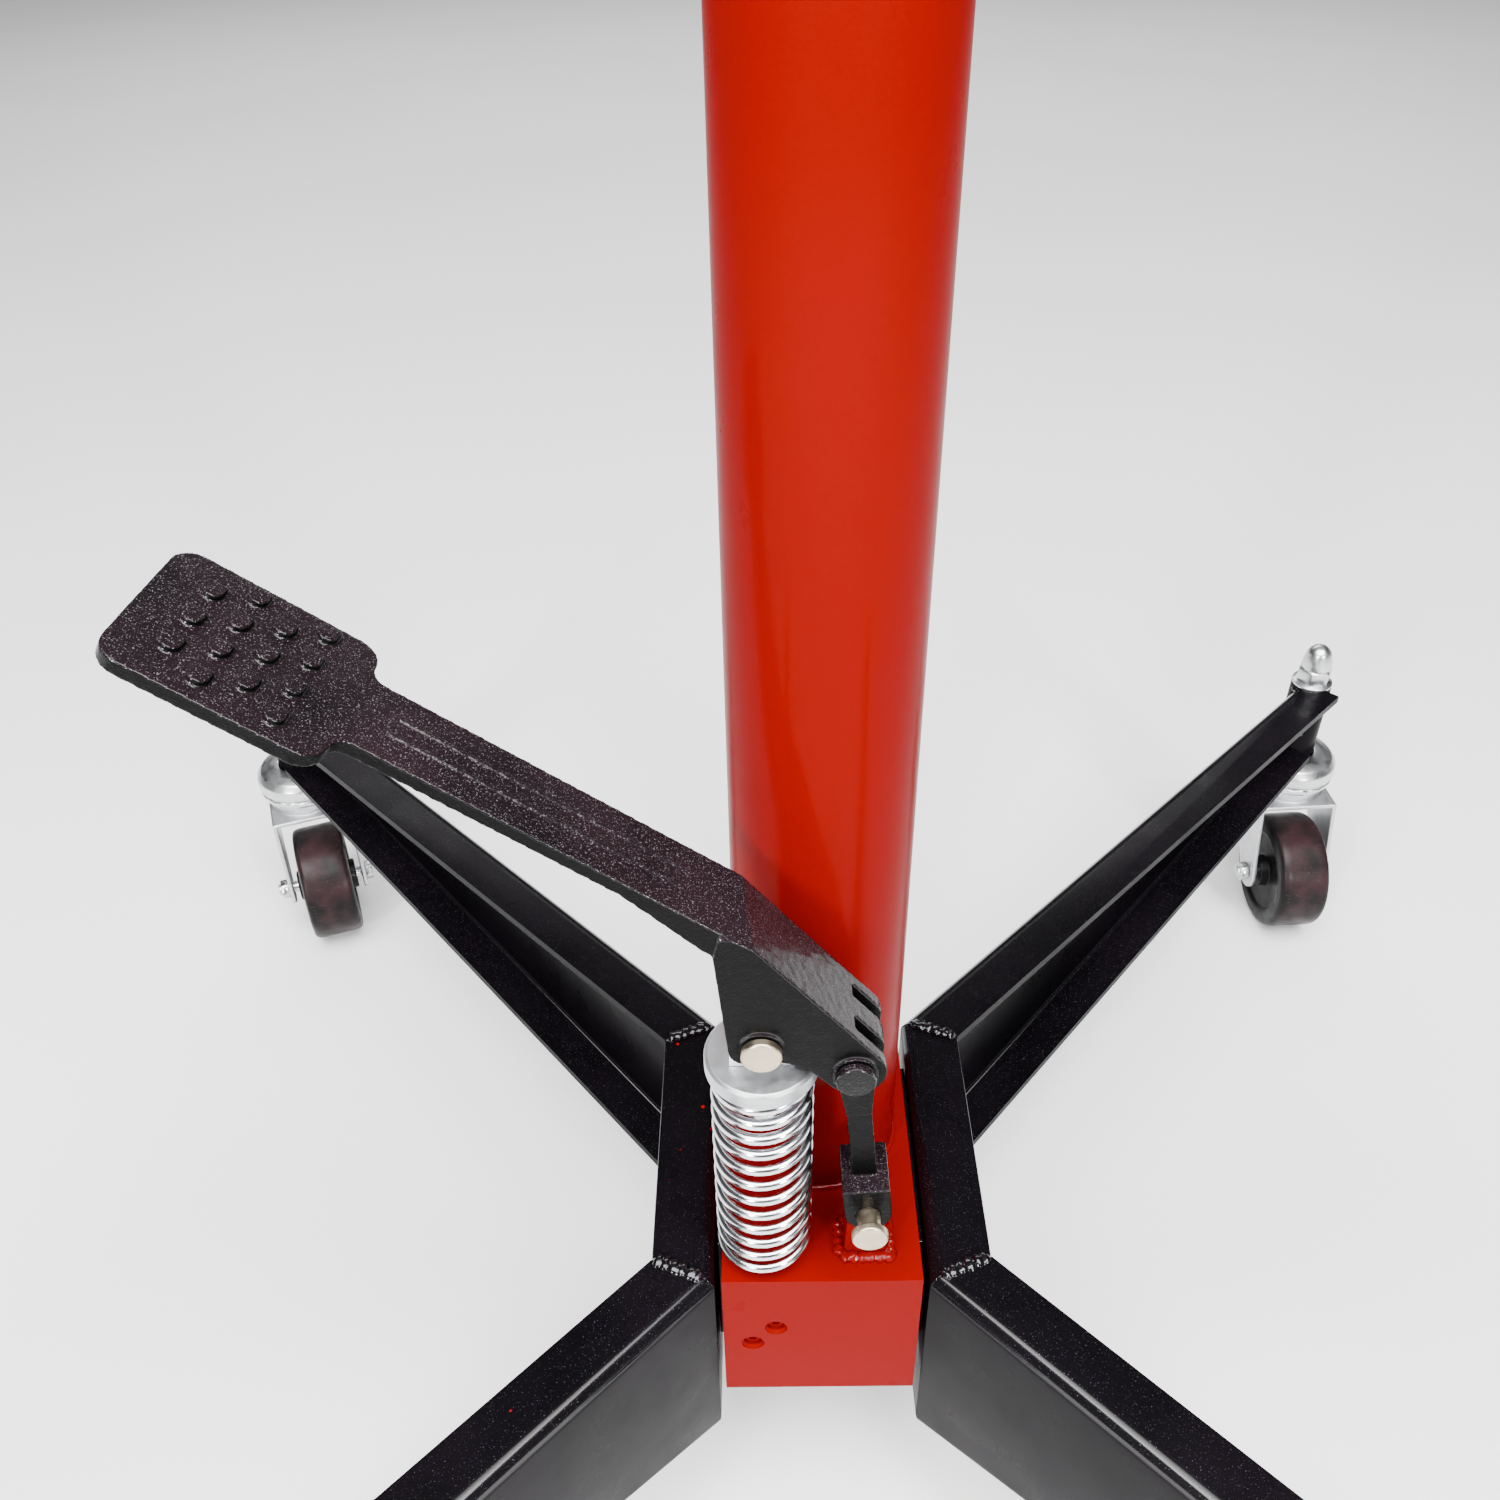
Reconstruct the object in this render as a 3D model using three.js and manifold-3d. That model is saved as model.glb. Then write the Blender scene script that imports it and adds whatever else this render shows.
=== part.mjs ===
// Foot-operated hydraulic transmission jack: a red telescopic column on a pump block, carried by
// four channel-section legs on swivel casters, with a foot pedal that works the spring-returned pump.
// Millimetres, +Z up. The origin is on the floor at the centre of the four casters, and -Y is the front.
import * as THREE from "three";
import { mergeVertices } from "three/addons/utils/BufferGeometryUtils.js";
import Module from "manifold-3d";

const wasm = await Module();
wasm.setup();

// Driving dimensions.
const GAP = 0.3; // clearance between pieces that touch
const BLOCK_TOP = 225;
const BLOCK = { width: 106, height: 107, front: -89, back: 71 };
const COLUMN = { y: 12.3, radius: 44.5, wall: 4, top: 1010 };
const CYLINDER = { outer: 32, inner: 28, bottom: 140, top: 1005 };
const RAM = { radius: 21, bore: 14, bottom: 150, top: 1062 };
const SADDLE = { plate: 1092, thickness: 8, reach: 95, fingerTop: 1130 };
const PLATE = 6; // thickness of the channel steel
const FLANGE = 33.4;
const BEND = 9; // outer bend radius of the channels
const WEB_X = 56.7; // inner face of the side channels
const CORNER_Y = 89; // where side channel and leg meet on that face
const CHANNEL_DEPTH = 150;
const LEG_TAPER = 0.2; // rise of the bottom flange along a leg
const BOSS = { x: 431, y: 453, radius: 16, bore: 6.5, bottom: 146 };
const PUMP = { x: -30, y: -65, barrel: 15, plunger: 9.5, barrelTop: 335 };
const SPRING = { radius: 22.3, wire: 2.75, turns: 12, bottom: 225.3, top: 369.5 };
const CAP = { radius: 27.3, thickness: 10 };
const PIN = { radius: 6, head: 9.3, headThickness: 4.5 };
const PLUNGER_PIN_Z = 404;
const LINK_PIN = { x: 12.5, z: 386.7 };
const BASE_PIN = { x: 23, z: 269.5 };
const PEDAL_BEND = { x: -35, z: 469.4 };
const PEDAL = { width: 40, plate: 7, cheek: 7, nose: 14.5, tilt: 32, yaw: 7 };
const PAD = { start: 184.3, length: 90, width: 77.2 };
const WHEEL = { radius: 50, width: 42, hub: 50, axle: 5 };
const CASTER = { trail: 38, cup: 36.5, forkHalf: 33, sheet: 3.5, crown: 119.5 };
const TURN = { rear_right: 3.5, rear_left: 20, front_left: 183.5, front_right: 200 }; // swivel angles

const rad = THREE.MathUtils.degToRad;
const look = (color, roughness, metalness) => ({ color, roughness, metalness });
const RED = look(0xd01008, 0.3, 0.2);
const BLACK = look(0x1d1a1e, 0.4, 0.3);
const CAST_BLACK = look(0x241c20, 0.55, 0.3);
const ZINC = look(0xc4c6c8, 0.35, 0.9);
const BRIGHT = look(0xd9dce0, 0.2, 1.0);
const TINTED = look(0xb8a078, 0.35, 0.9);
const STEEL = look(0x8c8e90, 0.4, 0.9);
const RUBBER = look(0x1a1818, 0.75, 0);

// Solids: geometry goes in and out of the boolean library through these three.
function solid(geometry) {
  const bare = new THREE.BufferGeometry().setAttribute("position", geometry.getAttribute("position"));
  if (geometry.index) bare.setIndex(geometry.index);
  const merged = mergeVertices(bare, 1e-3);
  return new wasm.Manifold(
    new wasm.Mesh({
      numProp: 3,
      vertProperties: merged.attributes.position.array,
      triVerts: new Uint32Array(merged.index.array),
    }),
  );
}
const join = (...pieces) => pieces.map(solid).reduce((a, b) => a.add(b));
const cut = (body, ...tools) => tools.map(solid).reduce((a, b) => a.subtract(b), body);
function geometryOf(body) {
  const mesh = body.getMesh();
  return new THREE.BufferGeometry()
    .setAttribute("position", new THREE.BufferAttribute(mesh.vertProperties, 3))
    .setIndex(new THREE.BufferAttribute(mesh.triVerts, 1));
}

// Plain shapes in place.
const box = (x0, x1, y0, y1, z0, z1) =>
  new THREE.BoxGeometry(x1 - x0, y1 - y0, z1 - z0).translate((x0 + x1) / 2, (y0 + y1) / 2, (z0 + z1) / 2);
const upright = (x, y, radius, z0, z1, sides = 20) =>
  new THREE.CylinderGeometry(radius, radius, z1 - z0, sides)
    .rotateX(Math.PI / 2).translate(x, y, (z0 + z1) / 2);
const alongY = (x, z, radius, y0, y1, sides = 16) =>
  new THREE.CylinderGeometry(radius, radius, y1 - y0, sides).translate(x, (y0 + y1) / 2, z);
const alongX = (y, z, radius, x0, x1, sides = 12) =>
  new THREE.CylinderGeometry(radius, radius, x1 - x0, sides)
    .rotateZ(Math.PI / 2).translate((x0 + x1) / 2, y, z);
// A turned piece from [radius, height] points, upright.
const turned = (points, sides = 20) =>
  new THREE.LatheGeometry(points.map(([r, z]) => new THREE.Vector2(r, z)), sides).rotateX(Math.PI / 2);
// An upright tube: bore, outside, low and high end.
const tube = (x, y, bore, radius, z0, z1, sides = 24) =>
  turned([[bore, z0], [radius, z0], [radius, z1], [bore, z1], [bore, z0]], sides).translate(x, y, 0);
const extruded = (shape, depth, curveSegments = 6) =>
  new THREE.ExtrudeGeometry(shape, { depth, bevelEnabled: false, curveSegments });
// A plate cut to an outline in X and Z, between two places along Y.
const slab = (outline, y0, y1, curveSegments = 6) =>
  extruded(outline, y1 - y0, curveSegments).rotateX(Math.PI / 2).translate(0, y1, 0);
function polygon(points) {
  const shape = new THREE.Shape();
  points.forEach(([a, b], i) => (i ? shape.lineTo(a, b) : shape.moveTo(a, b)));
  return shape;
}
// A rectangle with round corners, given by its low and high corners.
function roundedRectangle(x0, x1, y0, y1, radius) {
  const shape = new THREE.Shape();
  shape.moveTo(x0 + radius, y0);
  shape.absarc(x1 - radius, y0 + radius, radius, -Math.PI / 2, 0);
  shape.absarc(x1 - radius, y1 - radius, radius, 0, Math.PI / 2);
  shape.absarc(x0 + radius, y1 - radius, radius, Math.PI / 2, Math.PI);
  shape.absarc(x0 + radius, y0 + radius, radius, Math.PI, 1.5 * Math.PI);
  return shape;
}

const jack = new THREE.Group();
function place(name, shape, { color, roughness, metalness }, parent = jack) {
  const geometry = shape.isBufferGeometry ? shape : geometryOf(shape);
  const mesh = new THREE.Mesh(geometry, new THREE.MeshStandardMaterial({ color, roughness, metalness }));
  mesh.name = name;
  parent.add(mesh);
  return mesh;
}

// ---- Pump block: bored for the cylinder and the pump, with two ball valves behind plugs in front.
const VALVES = { suction: { x: -37.2, z: 165.4 }, delivery: { x: -24.5, z: 180.4 } };
const VALVE_BORE = { radius: 4.75, depth: 48 };
const RELEASE = { x: 22, z: 165, radius: 5, depth: 34 };
const blockBottom = BLOCK_TOP - BLOCK.height;
const blockSide = BLOCK.width / 2;

function pumpBlock() {
  const body = solid(box(-blockSide, blockSide, BLOCK.front, BLOCK.back, blockBottom, BLOCK_TOP));
  const valveBores = Object.values(VALVES).map(({ x, z }) =>
    alongY(x, z, VALVE_BORE.radius, BLOCK.front - 1, BLOCK.front + VALVE_BORE.depth, 16));
  return cut(
    body,
    upright(0, COLUMN.y, CYLINDER.outer + GAP, CYLINDER.bottom, BLOCK_TOP + 1, 32),
    upright(PUMP.x, PUMP.y, PUMP.barrel + GAP, 192, BLOCK_TOP + 1),
    ...valveBores,
    alongY(RELEASE.x, RELEASE.z, RELEASE.radius + GAP, BLOCK.back - RELEASE.depth, BLOCK.back + 1, 16),
  );
}
place("base_block", pumpBlock(), RED);
for (const [name, { x, z }] of Object.entries(VALVES)) {
  const plugFront = BLOCK.front + 3;
  const plug = solid(alongY(x, z, VALVE_BORE.radius - GAP, plugFront, plugFront + 10, 16));
  place(`${name}_plug`, cut(plug, alongY(x, z, 2.3, plugFront - 1, plugFront + 5, 6)), RED);
  const ball = new THREE.SphereGeometry(3.5, 12, 8).translate(x, BLOCK.front + VALVE_BORE.depth - 4, z);
  place(`${name}_ball`, ball, STEEL);
}

// ---- Frame: channels with their webs towards the middle and their open sides outwards.
// The bent corner of a channel: a flange and a strip of web, extruded along X. The web's face is y = 0.
function bentCorner(length) {
  const shape = new THREE.Shape();
  shape.moveTo(-FLANGE, -PLATE);
  shape.lineTo(-FLANGE, 0);
  shape.absarc(-BEND, -BEND, BEND, Math.PI / 2, 0, true);
  shape.lineTo(0, -2 * BEND);
  shape.lineTo(-PLATE, -2 * BEND);
  shape.absarc(-BEND, -BEND, BEND - PLATE, 0, Math.PI / 2, false);
  const axes = new THREE.Matrix4().makeBasis(
    new THREE.Vector3(0, 1, 0), new THREE.Vector3(0, 0, 1), new THREE.Vector3(1, 0, 0));
  return extruded(shape, length, 3).applyMatrix4(axes);
}
// A channel along X from x0 to x1, with its top level and its bottom rising by taper from the given depth.
function channel(x0, x1, depth, taper) {
  const slope = Math.atan(taper);
  const low = (x) => BLOCK_TOP - depth + taper * x;
  const top = bentCorner(x1 - x0).translate(x0, 0, BLOCK_TOP);
  const bottom = bentCorner((x1 - x0) / Math.cos(slope))
    .rotateX(Math.PI).scale(1, -1, 1).rotateY(-slope).translate(x0, 0, low(x0));
  mirrorFaces(bottom);
  const web = polygon([[x0, low(x0) + BEND + 2], [x1, low(x1) + BEND + 2], [x1, BLOCK_TOP - BEND - 2],
    [x0, BLOCK_TOP - BEND - 2]]);
  return join(top, bottom, slab(web, -PLATE, 0));
}
// A scale by -1 turns the faces inside out, and this turns them back.
function mirrorFaces(geometry) {
  const position = geometry.getAttribute("position");
  const a = new THREE.Vector3();
  const b = new THREE.Vector3();
  for (let i = 0; i < position.count; i += 3) {
    a.fromBufferAttribute(position, i + 1);
    b.fromBufferAttribute(position, i + 2);
    position.setXYZ(i + 1, b.x, b.y, b.z);
    position.setXYZ(i + 2, a.x, a.y, a.z);
  }
}
// A block of empty space on one side of the upright mitre plane through the corner.
const mitreSpace = (side) =>
  new THREE.BoxGeometry(400, 200, 400).translate(0, side * (100 - GAP), BLOCK_TOP)
    .rotateZ(rad(-22.5)).translate(WEB_X, CORNER_Y, 0);

// The rear right leg; the others are its mirror images. Its bottom flange stops short of the boss.
const FLANGE_RELIEF = 28;
function leg() {
  const toEnd = (BOSS.x - WEB_X + BOSS.y - CORNER_Y) / Math.SQRT2 - 4;
  const relief = box(toEnd - FLANGE_RELIEF, toEnd + 60, -FLANGE - 10, -BEND, 0, BLOCK_TOP - 2 * BEND);
  const body = cut(channel(-30, toEnd, CHANNEL_DEPTH, LEG_TAPER), relief);
  const turnedLeg = solid(geometryOf(body).rotateZ(rad(45)).translate(WEB_X, CORNER_Y, 0));
  return cut(turnedLeg, mitreSpace(-1), upright(BOSS.x, BOSS.y, BOSS.radius + GAP, 0, BLOCK_TOP + 1));
}
function sideChannel() {
  const half = CORNER_Y + 20;
  const body = solid(
    geometryOf(channel(-half, half, CHANNEL_DEPTH, 0)).rotateZ(rad(90)).translate(WEB_X, 0, 0));
  const rear = mitreSpace(1);
  const front = mitreSpace(1).rotateX(Math.PI);
  front.translate(0, 0, 2 * BLOCK_TOP);
  return cut(body, rear, front);
}
const CORNERS = [["front_left", -1, -1], ["front_right", 1, -1], ["rear_left", -1, 1], ["rear_right", 1, 1]];
const legShape = geometryOf(leg());
const bossShape = tube(BOSS.x, BOSS.y, BOSS.bore, BOSS.radius, BOSS.bottom, BLOCK_TOP, 20);
for (const [corner, sideX, sideY] of CORNERS) {
  place(`${corner}_leg`, legShape.clone(), BLACK).scale.set(sideX, sideY, 1);
  place(`${corner}_caster_boss`, bossShape.clone(), BLACK).scale.set(sideX, sideY, 1);
}
const sideShape = geometryOf(sideChannel());
const mountPlate = box(blockSide + GAP, WEB_X - GAP, -60, 60, 125, 215);
for (const [side, sign] of [["left", -1], ["right", 1]]) {
  place(`${side}_side_channel`, sideShape.clone(), BLACK).scale.x = sign;
  place(`${side}_mount_plate`, mountPlate.clone(), BLACK).scale.x = sign;
}

// ---- Column: the outer tube holds oil round the cylinder, and the ram runs through the gland nut.
const onColumn = (piece) => piece.translate(0, COLUMN.y, 0);
const FILLER = { z: 965, radius: 6 };
const columnTube = solid(
  tube(0, COLUMN.y, COLUMN.radius - COLUMN.wall, COLUMN.radius, BLOCK_TOP + GAP, COLUMN.top, 40));
const fillerFace = COLUMN.y + COLUMN.radius;
place("column_tube",
  cut(columnTube, alongY(0, FILLER.z, FILLER.radius + GAP, fillerFace - 10, fillerFace + 5, 16)), RED);
place("filler_plug",
  join(alongY(0, FILLER.z, FILLER.radius, fillerFace - 6, fillerFace + 3, 16),
    alongY(0, FILLER.z, 10, fillerFace + 1, fillerFace + 9, 6)), ZINC);
place("inner_cylinder",
  tube(0, COLUMN.y, CYLINDER.inner, CYLINDER.outer, CYLINDER.bottom + GAP, CYLINDER.top), STEEL);
const GLAND = { bottom: COLUMN.top + GAP, top: 1040, radius: 46, seat: 1032 };
place("gland_nut", onColumn(turned([
  [RAM.radius + GAP, GLAND.bottom], [GLAND.radius - 1.5, GLAND.bottom], [GLAND.radius, GLAND.bottom + 1.5],
  [GLAND.radius, GLAND.top - 4], [GLAND.radius - 4, GLAND.top], [27, GLAND.top], [27, GLAND.seat],
  [RAM.radius + GAP, GLAND.seat], [RAM.radius + GAP, GLAND.bottom]], 24)), RED);
place("wiper_seal",
  onColumn(turned([
    [RAM.radius + GAP, GLAND.seat + GAP], [27 - GAP, GLAND.seat + GAP], [27 - GAP, GLAND.top],
    [RAM.radius + 1.5, GLAND.top + 2.5], [RAM.radius + GAP, GLAND.top + 2.5],
    [RAM.radius + GAP, GLAND.seat + GAP]])), RUBBER);

// Ram: hollow from below, with its piston at the bottom and a socket for the saddle on top.
const PISTON = { radius: CYLINDER.inner - GAP, top: 190, groove: [165, 173], grooveRadius: 24 };
place("ram", onColumn(turned([
  [RAM.bore, RAM.bottom], [PISTON.radius, RAM.bottom], [PISTON.radius, PISTON.groove[0]],
  [PISTON.grooveRadius, PISTON.groove[0]], [PISTON.grooveRadius, PISTON.groove[1]],
  [PISTON.radius, PISTON.groove[1]], [PISTON.radius, PISTON.top], [RAM.radius, PISTON.top],
  [RAM.radius, RAM.top - 2], [RAM.radius - 2, RAM.top], [12 + GAP, RAM.top], [12 + GAP, RAM.top - 40],
  [0, RAM.top - 40], [0, RAM.top - 50], [RAM.bore, RAM.top - 50], [RAM.bore, RAM.bottom]])), BRIGHT);
place("piston_seal", tube(0, COLUMN.y, PISTON.grooveRadius + GAP, PISTON.radius, PISTON.groove[0] + GAP,
  PISTON.groove[1] - GAP), RUBBER);

// Saddle: a post that turns in the ram and a cross-shaped plate with four upturned fingers.
place("saddle_post", onColumn(turned([
  [0, RAM.top - 38], [11, RAM.top - 38], [12, RAM.top - 37], [12, RAM.top + GAP], [26, RAM.top + GAP],
  [28, RAM.top + 3], [28, SADDLE.plate - 4], [24, SADDLE.plate - GAP], [0, SADDLE.plate - GAP]])), ZINC);
function saddlePlate() {
  const arms = [45, 135].map((angle) =>
    box(-SADDLE.reach, SADDLE.reach, -18, 18, SADDLE.plate, SADDLE.plate + SADDLE.thickness)
      .rotateZ(rad(angle)));
  const fingers = [45, 135, 225, 315].map((angle) =>
    box(SADDLE.reach - 8, SADDLE.reach, -18, 18, SADDLE.plate, SADDLE.fingerTop).rotateZ(rad(angle)));
  const disc = upright(0, 0, 45, SADDLE.plate, SADDLE.plate + SADDLE.thickness, 24);
  return geometryOf(join(disc, ...arms, ...fingers)).translate(0, COLUMN.y, 0);
}
place("saddle_plate", saddlePlate(), BLACK);

// Release valve: a needle spindle in the back of the block, turned by a round knob.
const spindleEnd = BLOCK.back + 34;
place("release_spindle", alongY(RELEASE.x, RELEASE.z, RELEASE.radius, BLOCK.back - RELEASE.depth + 4,
  spindleEnd), ZINC);
function releaseKnob() {
  const knob = solid(alongY(RELEASE.x, RELEASE.z, 18, spindleEnd - 14, spindleEnd + 6, 24));
  const scallops = Array.from({ length: 8 }, (_, i) => {
    const angle = (i + 0.5) * rad(45);
    const x = RELEASE.x + 20.5 * Math.cos(angle);
    const z = RELEASE.z + 20.5 * Math.sin(angle);
    return alongY(x, z, 4.5, spindleEnd - 15, spindleEnd + 7, 8);
  });
  const bore = alongY(RELEASE.x, RELEASE.z, RELEASE.radius + GAP, spindleEnd - 15, spindleEnd + GAP);
  return cut(knob, bore, ...scallops);
}
place("release_knob", releaseKnob(), BLACK);

// ---- Pump: barrel in the block, plunger through the spring's cap, eye for the pedal on top.
const capTop = SPRING.top + GAP + CAP.thickness;
const onPump = (piece) => piece.translate(PUMP.x, PUMP.y, 0);
place("pump_barrel", onPump(turned([
  [PUMP.plunger + GAP, 192 + GAP], [PUMP.barrel, 192 + GAP], [PUMP.barrel, PUMP.barrelTop - 2],
  [PUMP.barrel - 2, PUMP.barrelTop], [PUMP.plunger + GAP, PUMP.barrelTop],
  [PUMP.plunger + GAP, 192 + GAP]])), RED);
place("spring_cap", onPump(turned([
  [PUMP.plunger + GAP, capTop - CAP.thickness], [CAP.radius - 1, capTop - CAP.thickness],
  [CAP.radius, capTop - CAP.thickness + 1], [CAP.radius, capTop - 1.5], [CAP.radius - 1.5, capTop],
  [PUMP.plunger + GAP, capTop], [PUMP.plunger + GAP, capTop - CAP.thickness]], 24)), ZINC);
const EYE = { radius: 15, hole: 8.4, half: 9.5 };
function pumpPlunger() {
  const rod = upright(PUMP.x, PUMP.y, PUMP.plunger, 225, capTop + 4);
  const outline = new THREE.Shape();
  outline.moveTo(PUMP.x - EYE.radius, capTop + GAP);
  outline.lineTo(PUMP.x + EYE.radius, capTop + GAP);
  outline.absarc(PUMP.x, PLUNGER_PIN_Z, EYE.radius, 0, Math.PI);
  const eye = slab(outline, PUMP.y - EYE.half, PUMP.y + EYE.half, 7);
  const hole = alongY(PUMP.x, PLUNGER_PIN_Z, EYE.hole, PUMP.y - 20, PUMP.y + 20);
  return cut(join(rod, eye), hole);
}
place("pump_plunger", pumpPlunger(), BRIGHT);

// The return spring's centre line: closed end turns and even turns between them.
class Helix extends THREE.Curve {
  getPoint(t, target = new THREE.Vector3()) {
    const angle = 2 * Math.PI * SPRING.turns * t;
    const span = SPRING.top - SPRING.bottom - 2 * SPRING.wire;
    const rise = THREE.MathUtils.lerp(t, t * t * (3 - 2 * t), 0.12);
    const z = SPRING.bottom + SPRING.wire + span * rise;
    return target.set(SPRING.radius * Math.cos(angle), SPRING.radius * Math.sin(angle), z);
  }
}
function returnSpring() {
  const wire = new THREE.Shape().absarc(0, 0, SPRING.wire - 0.1, 0, 2 * Math.PI);
  const steps = SPRING.turns * 10;
  return onPump(new THREE.ExtrudeGeometry(wire, {
    steps, curveSegments: 3, bevelEnabled: false, extrudePath: new Helix() }));
}
place("return_spring", returnSpring(), BRIGHT);

// ---- Linkage: pedal, link and lug stand in one upright plane through the pump's axis.
const MID = PUMP.y;
const SLOTS = { inner: 6, outer: 13.4 }; // where the link's upper arms run, either side of the plane
const LUG_HALF = 8;
function linkLug() {
  const outline = new THREE.Shape();
  outline.moveTo(BASE_PIN.x - 11, BLOCK_TOP + GAP);
  outline.lineTo(BASE_PIN.x + 11, BLOCK_TOP + GAP);
  outline.lineTo(BASE_PIN.x + 9.5, BASE_PIN.z);
  outline.absarc(BASE_PIN.x, BASE_PIN.z, 9.5, 0, Math.PI);
  const plate = solid(slab(outline, MID - LUG_HALF, MID + LUG_HALF, 7));
  return cut(plate, alongY(BASE_PIN.x, BASE_PIN.z, PIN.radius + GAP, MID - 20, MID + 20));
}
place("link_lug", linkLug(), RED);

// The link is drawn upright over the base pin, then leaned to meet the pedal's pin.
const linkLength = Math.hypot(LINK_PIN.x - BASE_PIN.x, LINK_PIN.z - BASE_PIN.z);
const linkLean = Math.atan2(LINK_PIN.x - BASE_PIN.x, LINK_PIN.z - BASE_PIN.z);
function link() {
  const halfWidth = 12;
  const bridge = 11; // underside of the lower bridge above the base pin
  const ear = new THREE.Shape();
  ear.moveTo(halfWidth, bridge + 9);
  ear.lineTo(-halfWidth, bridge + 9);
  ear.lineTo(-halfWidth, 0);
  ear.absarc(0, 0, halfWidth, Math.PI, 2 * Math.PI);
  const arm = new THREE.Shape();
  arm.moveTo(-6.2, linkLength - 40);
  arm.lineTo(6.2, linkLength - 40);
  arm.lineTo(10.5, linkLength);
  arm.absarc(0, linkLength, 10.5, 0, Math.PI);
  const body = join(
    box(-halfWidth, halfWidth, -15, 15, bridge, bridge + 9),
    slab(ear, -15, -LUG_HALF - 0.5, 5),
    slab(ear, LUG_HALF + 0.5, 15, 5),
    box(-6.2, 6.2, -5, 5, bridge + 8, linkLength - 32),
    box(-6.2, 6.2, -SLOTS.outer + 0.5, SLOTS.outer - 0.5, linkLength - 40, linkLength - 32),
    slab(arm, -SLOTS.outer + 0.5, -SLOTS.inner - 0.5, 5),
    slab(arm, SLOTS.inner + 0.5, SLOTS.outer - 0.5, 5),
  );
  const holes = [0, linkLength].map((z) => alongY(0, z, PIN.radius + GAP, -20, 20));
  return geometryOf(cut(body, ...holes)).rotateY(linkLean).translate(BASE_PIN.x, MID, BASE_PIN.z);
}
place("link", link(), CAST_BLACK);

// The pedal: an inverted trough over the plunger's eye, a slotted nose, and a flat arm up to the pad.
// Its arm is drawn lying along X with its top at zero, then raised and turned about the bend.
const onBend = (piece) => piece.rotateY(-rad(PEDAL.tilt)).rotateZ(Math.PI - rad(PEDAL.yaw))
  .translate(PEDAL_BEND.x, MID, PEDAL_BEND.z);
const toBend = Math.atan2(PEDAL_BEND.z - LINK_PIN.z, PEDAL_BEND.x - LINK_PIN.x);
const bendReach = Math.hypot(PEDAL_BEND.z - LINK_PIN.z, PEDAL_BEND.x - LINK_PIN.x);
const noseEdge = toBend - Math.acos(PEDAL.nose / bendReach); // where the front slope leaves the nose
// A point on the front slope's line, this far past the bend.
const onSlope = (past) =>
  [PEDAL_BEND.x - past * Math.sin(noseEdge), PEDAL_BEND.z + past * Math.cos(noseEdge)];
function pedalHead() {
  const outline = new THREE.Shape();
  outline.moveTo(-50, 461);
  outline.lineTo(-45, 401.5);
  outline.absarc(-37, 401.5, 8, Math.PI, 1.5 * Math.PI);
  outline.lineTo(-21, 394.5);
  outline.lineTo(-9, 389.5);
  outline.absarc(LINK_PIN.x, LINK_PIN.z, PEDAL.nose, rad(-137), noseEdge);
  outline.lineTo(...onSlope(4));
  outline.lineTo(-47, 472);
  const half = PEDAL.width / 2;
  const head = slab(outline, MID - half, MID + half, 7);
  // The trough is open below and reaches from the arm to the nose, under a roof as thick as the arm.
  const roof = PEDAL.plate / Math.sin(noseEdge);
  const line = (x) => PEDAL_BEND.z - (x - PEDAL_BEND.x) / Math.tan(noseEdge) - roof;
  const hollow = polygon([[-60, 380], [-6, 380], [-6, line(-6)], [PEDAL_BEND.x, line(PEDAL_BEND.x)],
    [-60, 460]]);
  const inside = half - PEDAL.cheek;
  const trough = slab(hollow, MID - inside, MID + inside);
  const slotShape = polygon([[-7, 360], [40, 360], [40, 410], [9, 410], [-7, 398]]);
  const slots = [[-SLOTS.outer, -SLOTS.inner], [SLOTS.inner, SLOTS.outer]].map(([y0, y1]) =>
    slab(slotShape, MID + y0, MID + y1));
  return cut(solid(head), trough, ...slots, onBend(box(-40, 60, -40, 40, 0, 40)));
}
// The arm and pad in plan: half-widths along the arm, with round corners and a filleted neck.
function armOutline() {
  const half = PEDAL.width / 2;
  const wide = PAD.width / 2;
  const end = PAD.start + PAD.length;
  const round = 11;
  const fillet = 7;
  const shape = new THREE.Shape();
  shape.moveTo(-4, half);
  shape.lineTo(-4, -half);
  shape.absarc(PAD.start - fillet, -half - fillet, fillet, Math.PI / 2, 0, true);
  shape.absarc(PAD.start + round, -wide + round, round, Math.PI, 1.5 * Math.PI);
  shape.absarc(end - round, -wide + round, round, -Math.PI / 2, 0);
  shape.absarc(end - round, wide - round, round, 0, Math.PI / 2);
  shape.absarc(PAD.start + round, wide - round, round, Math.PI / 2, Math.PI);
  shape.absarc(PAD.start - fillet, half + fillet, fillet, 0, -Math.PI / 2, true);
  return shape;
}
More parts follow.
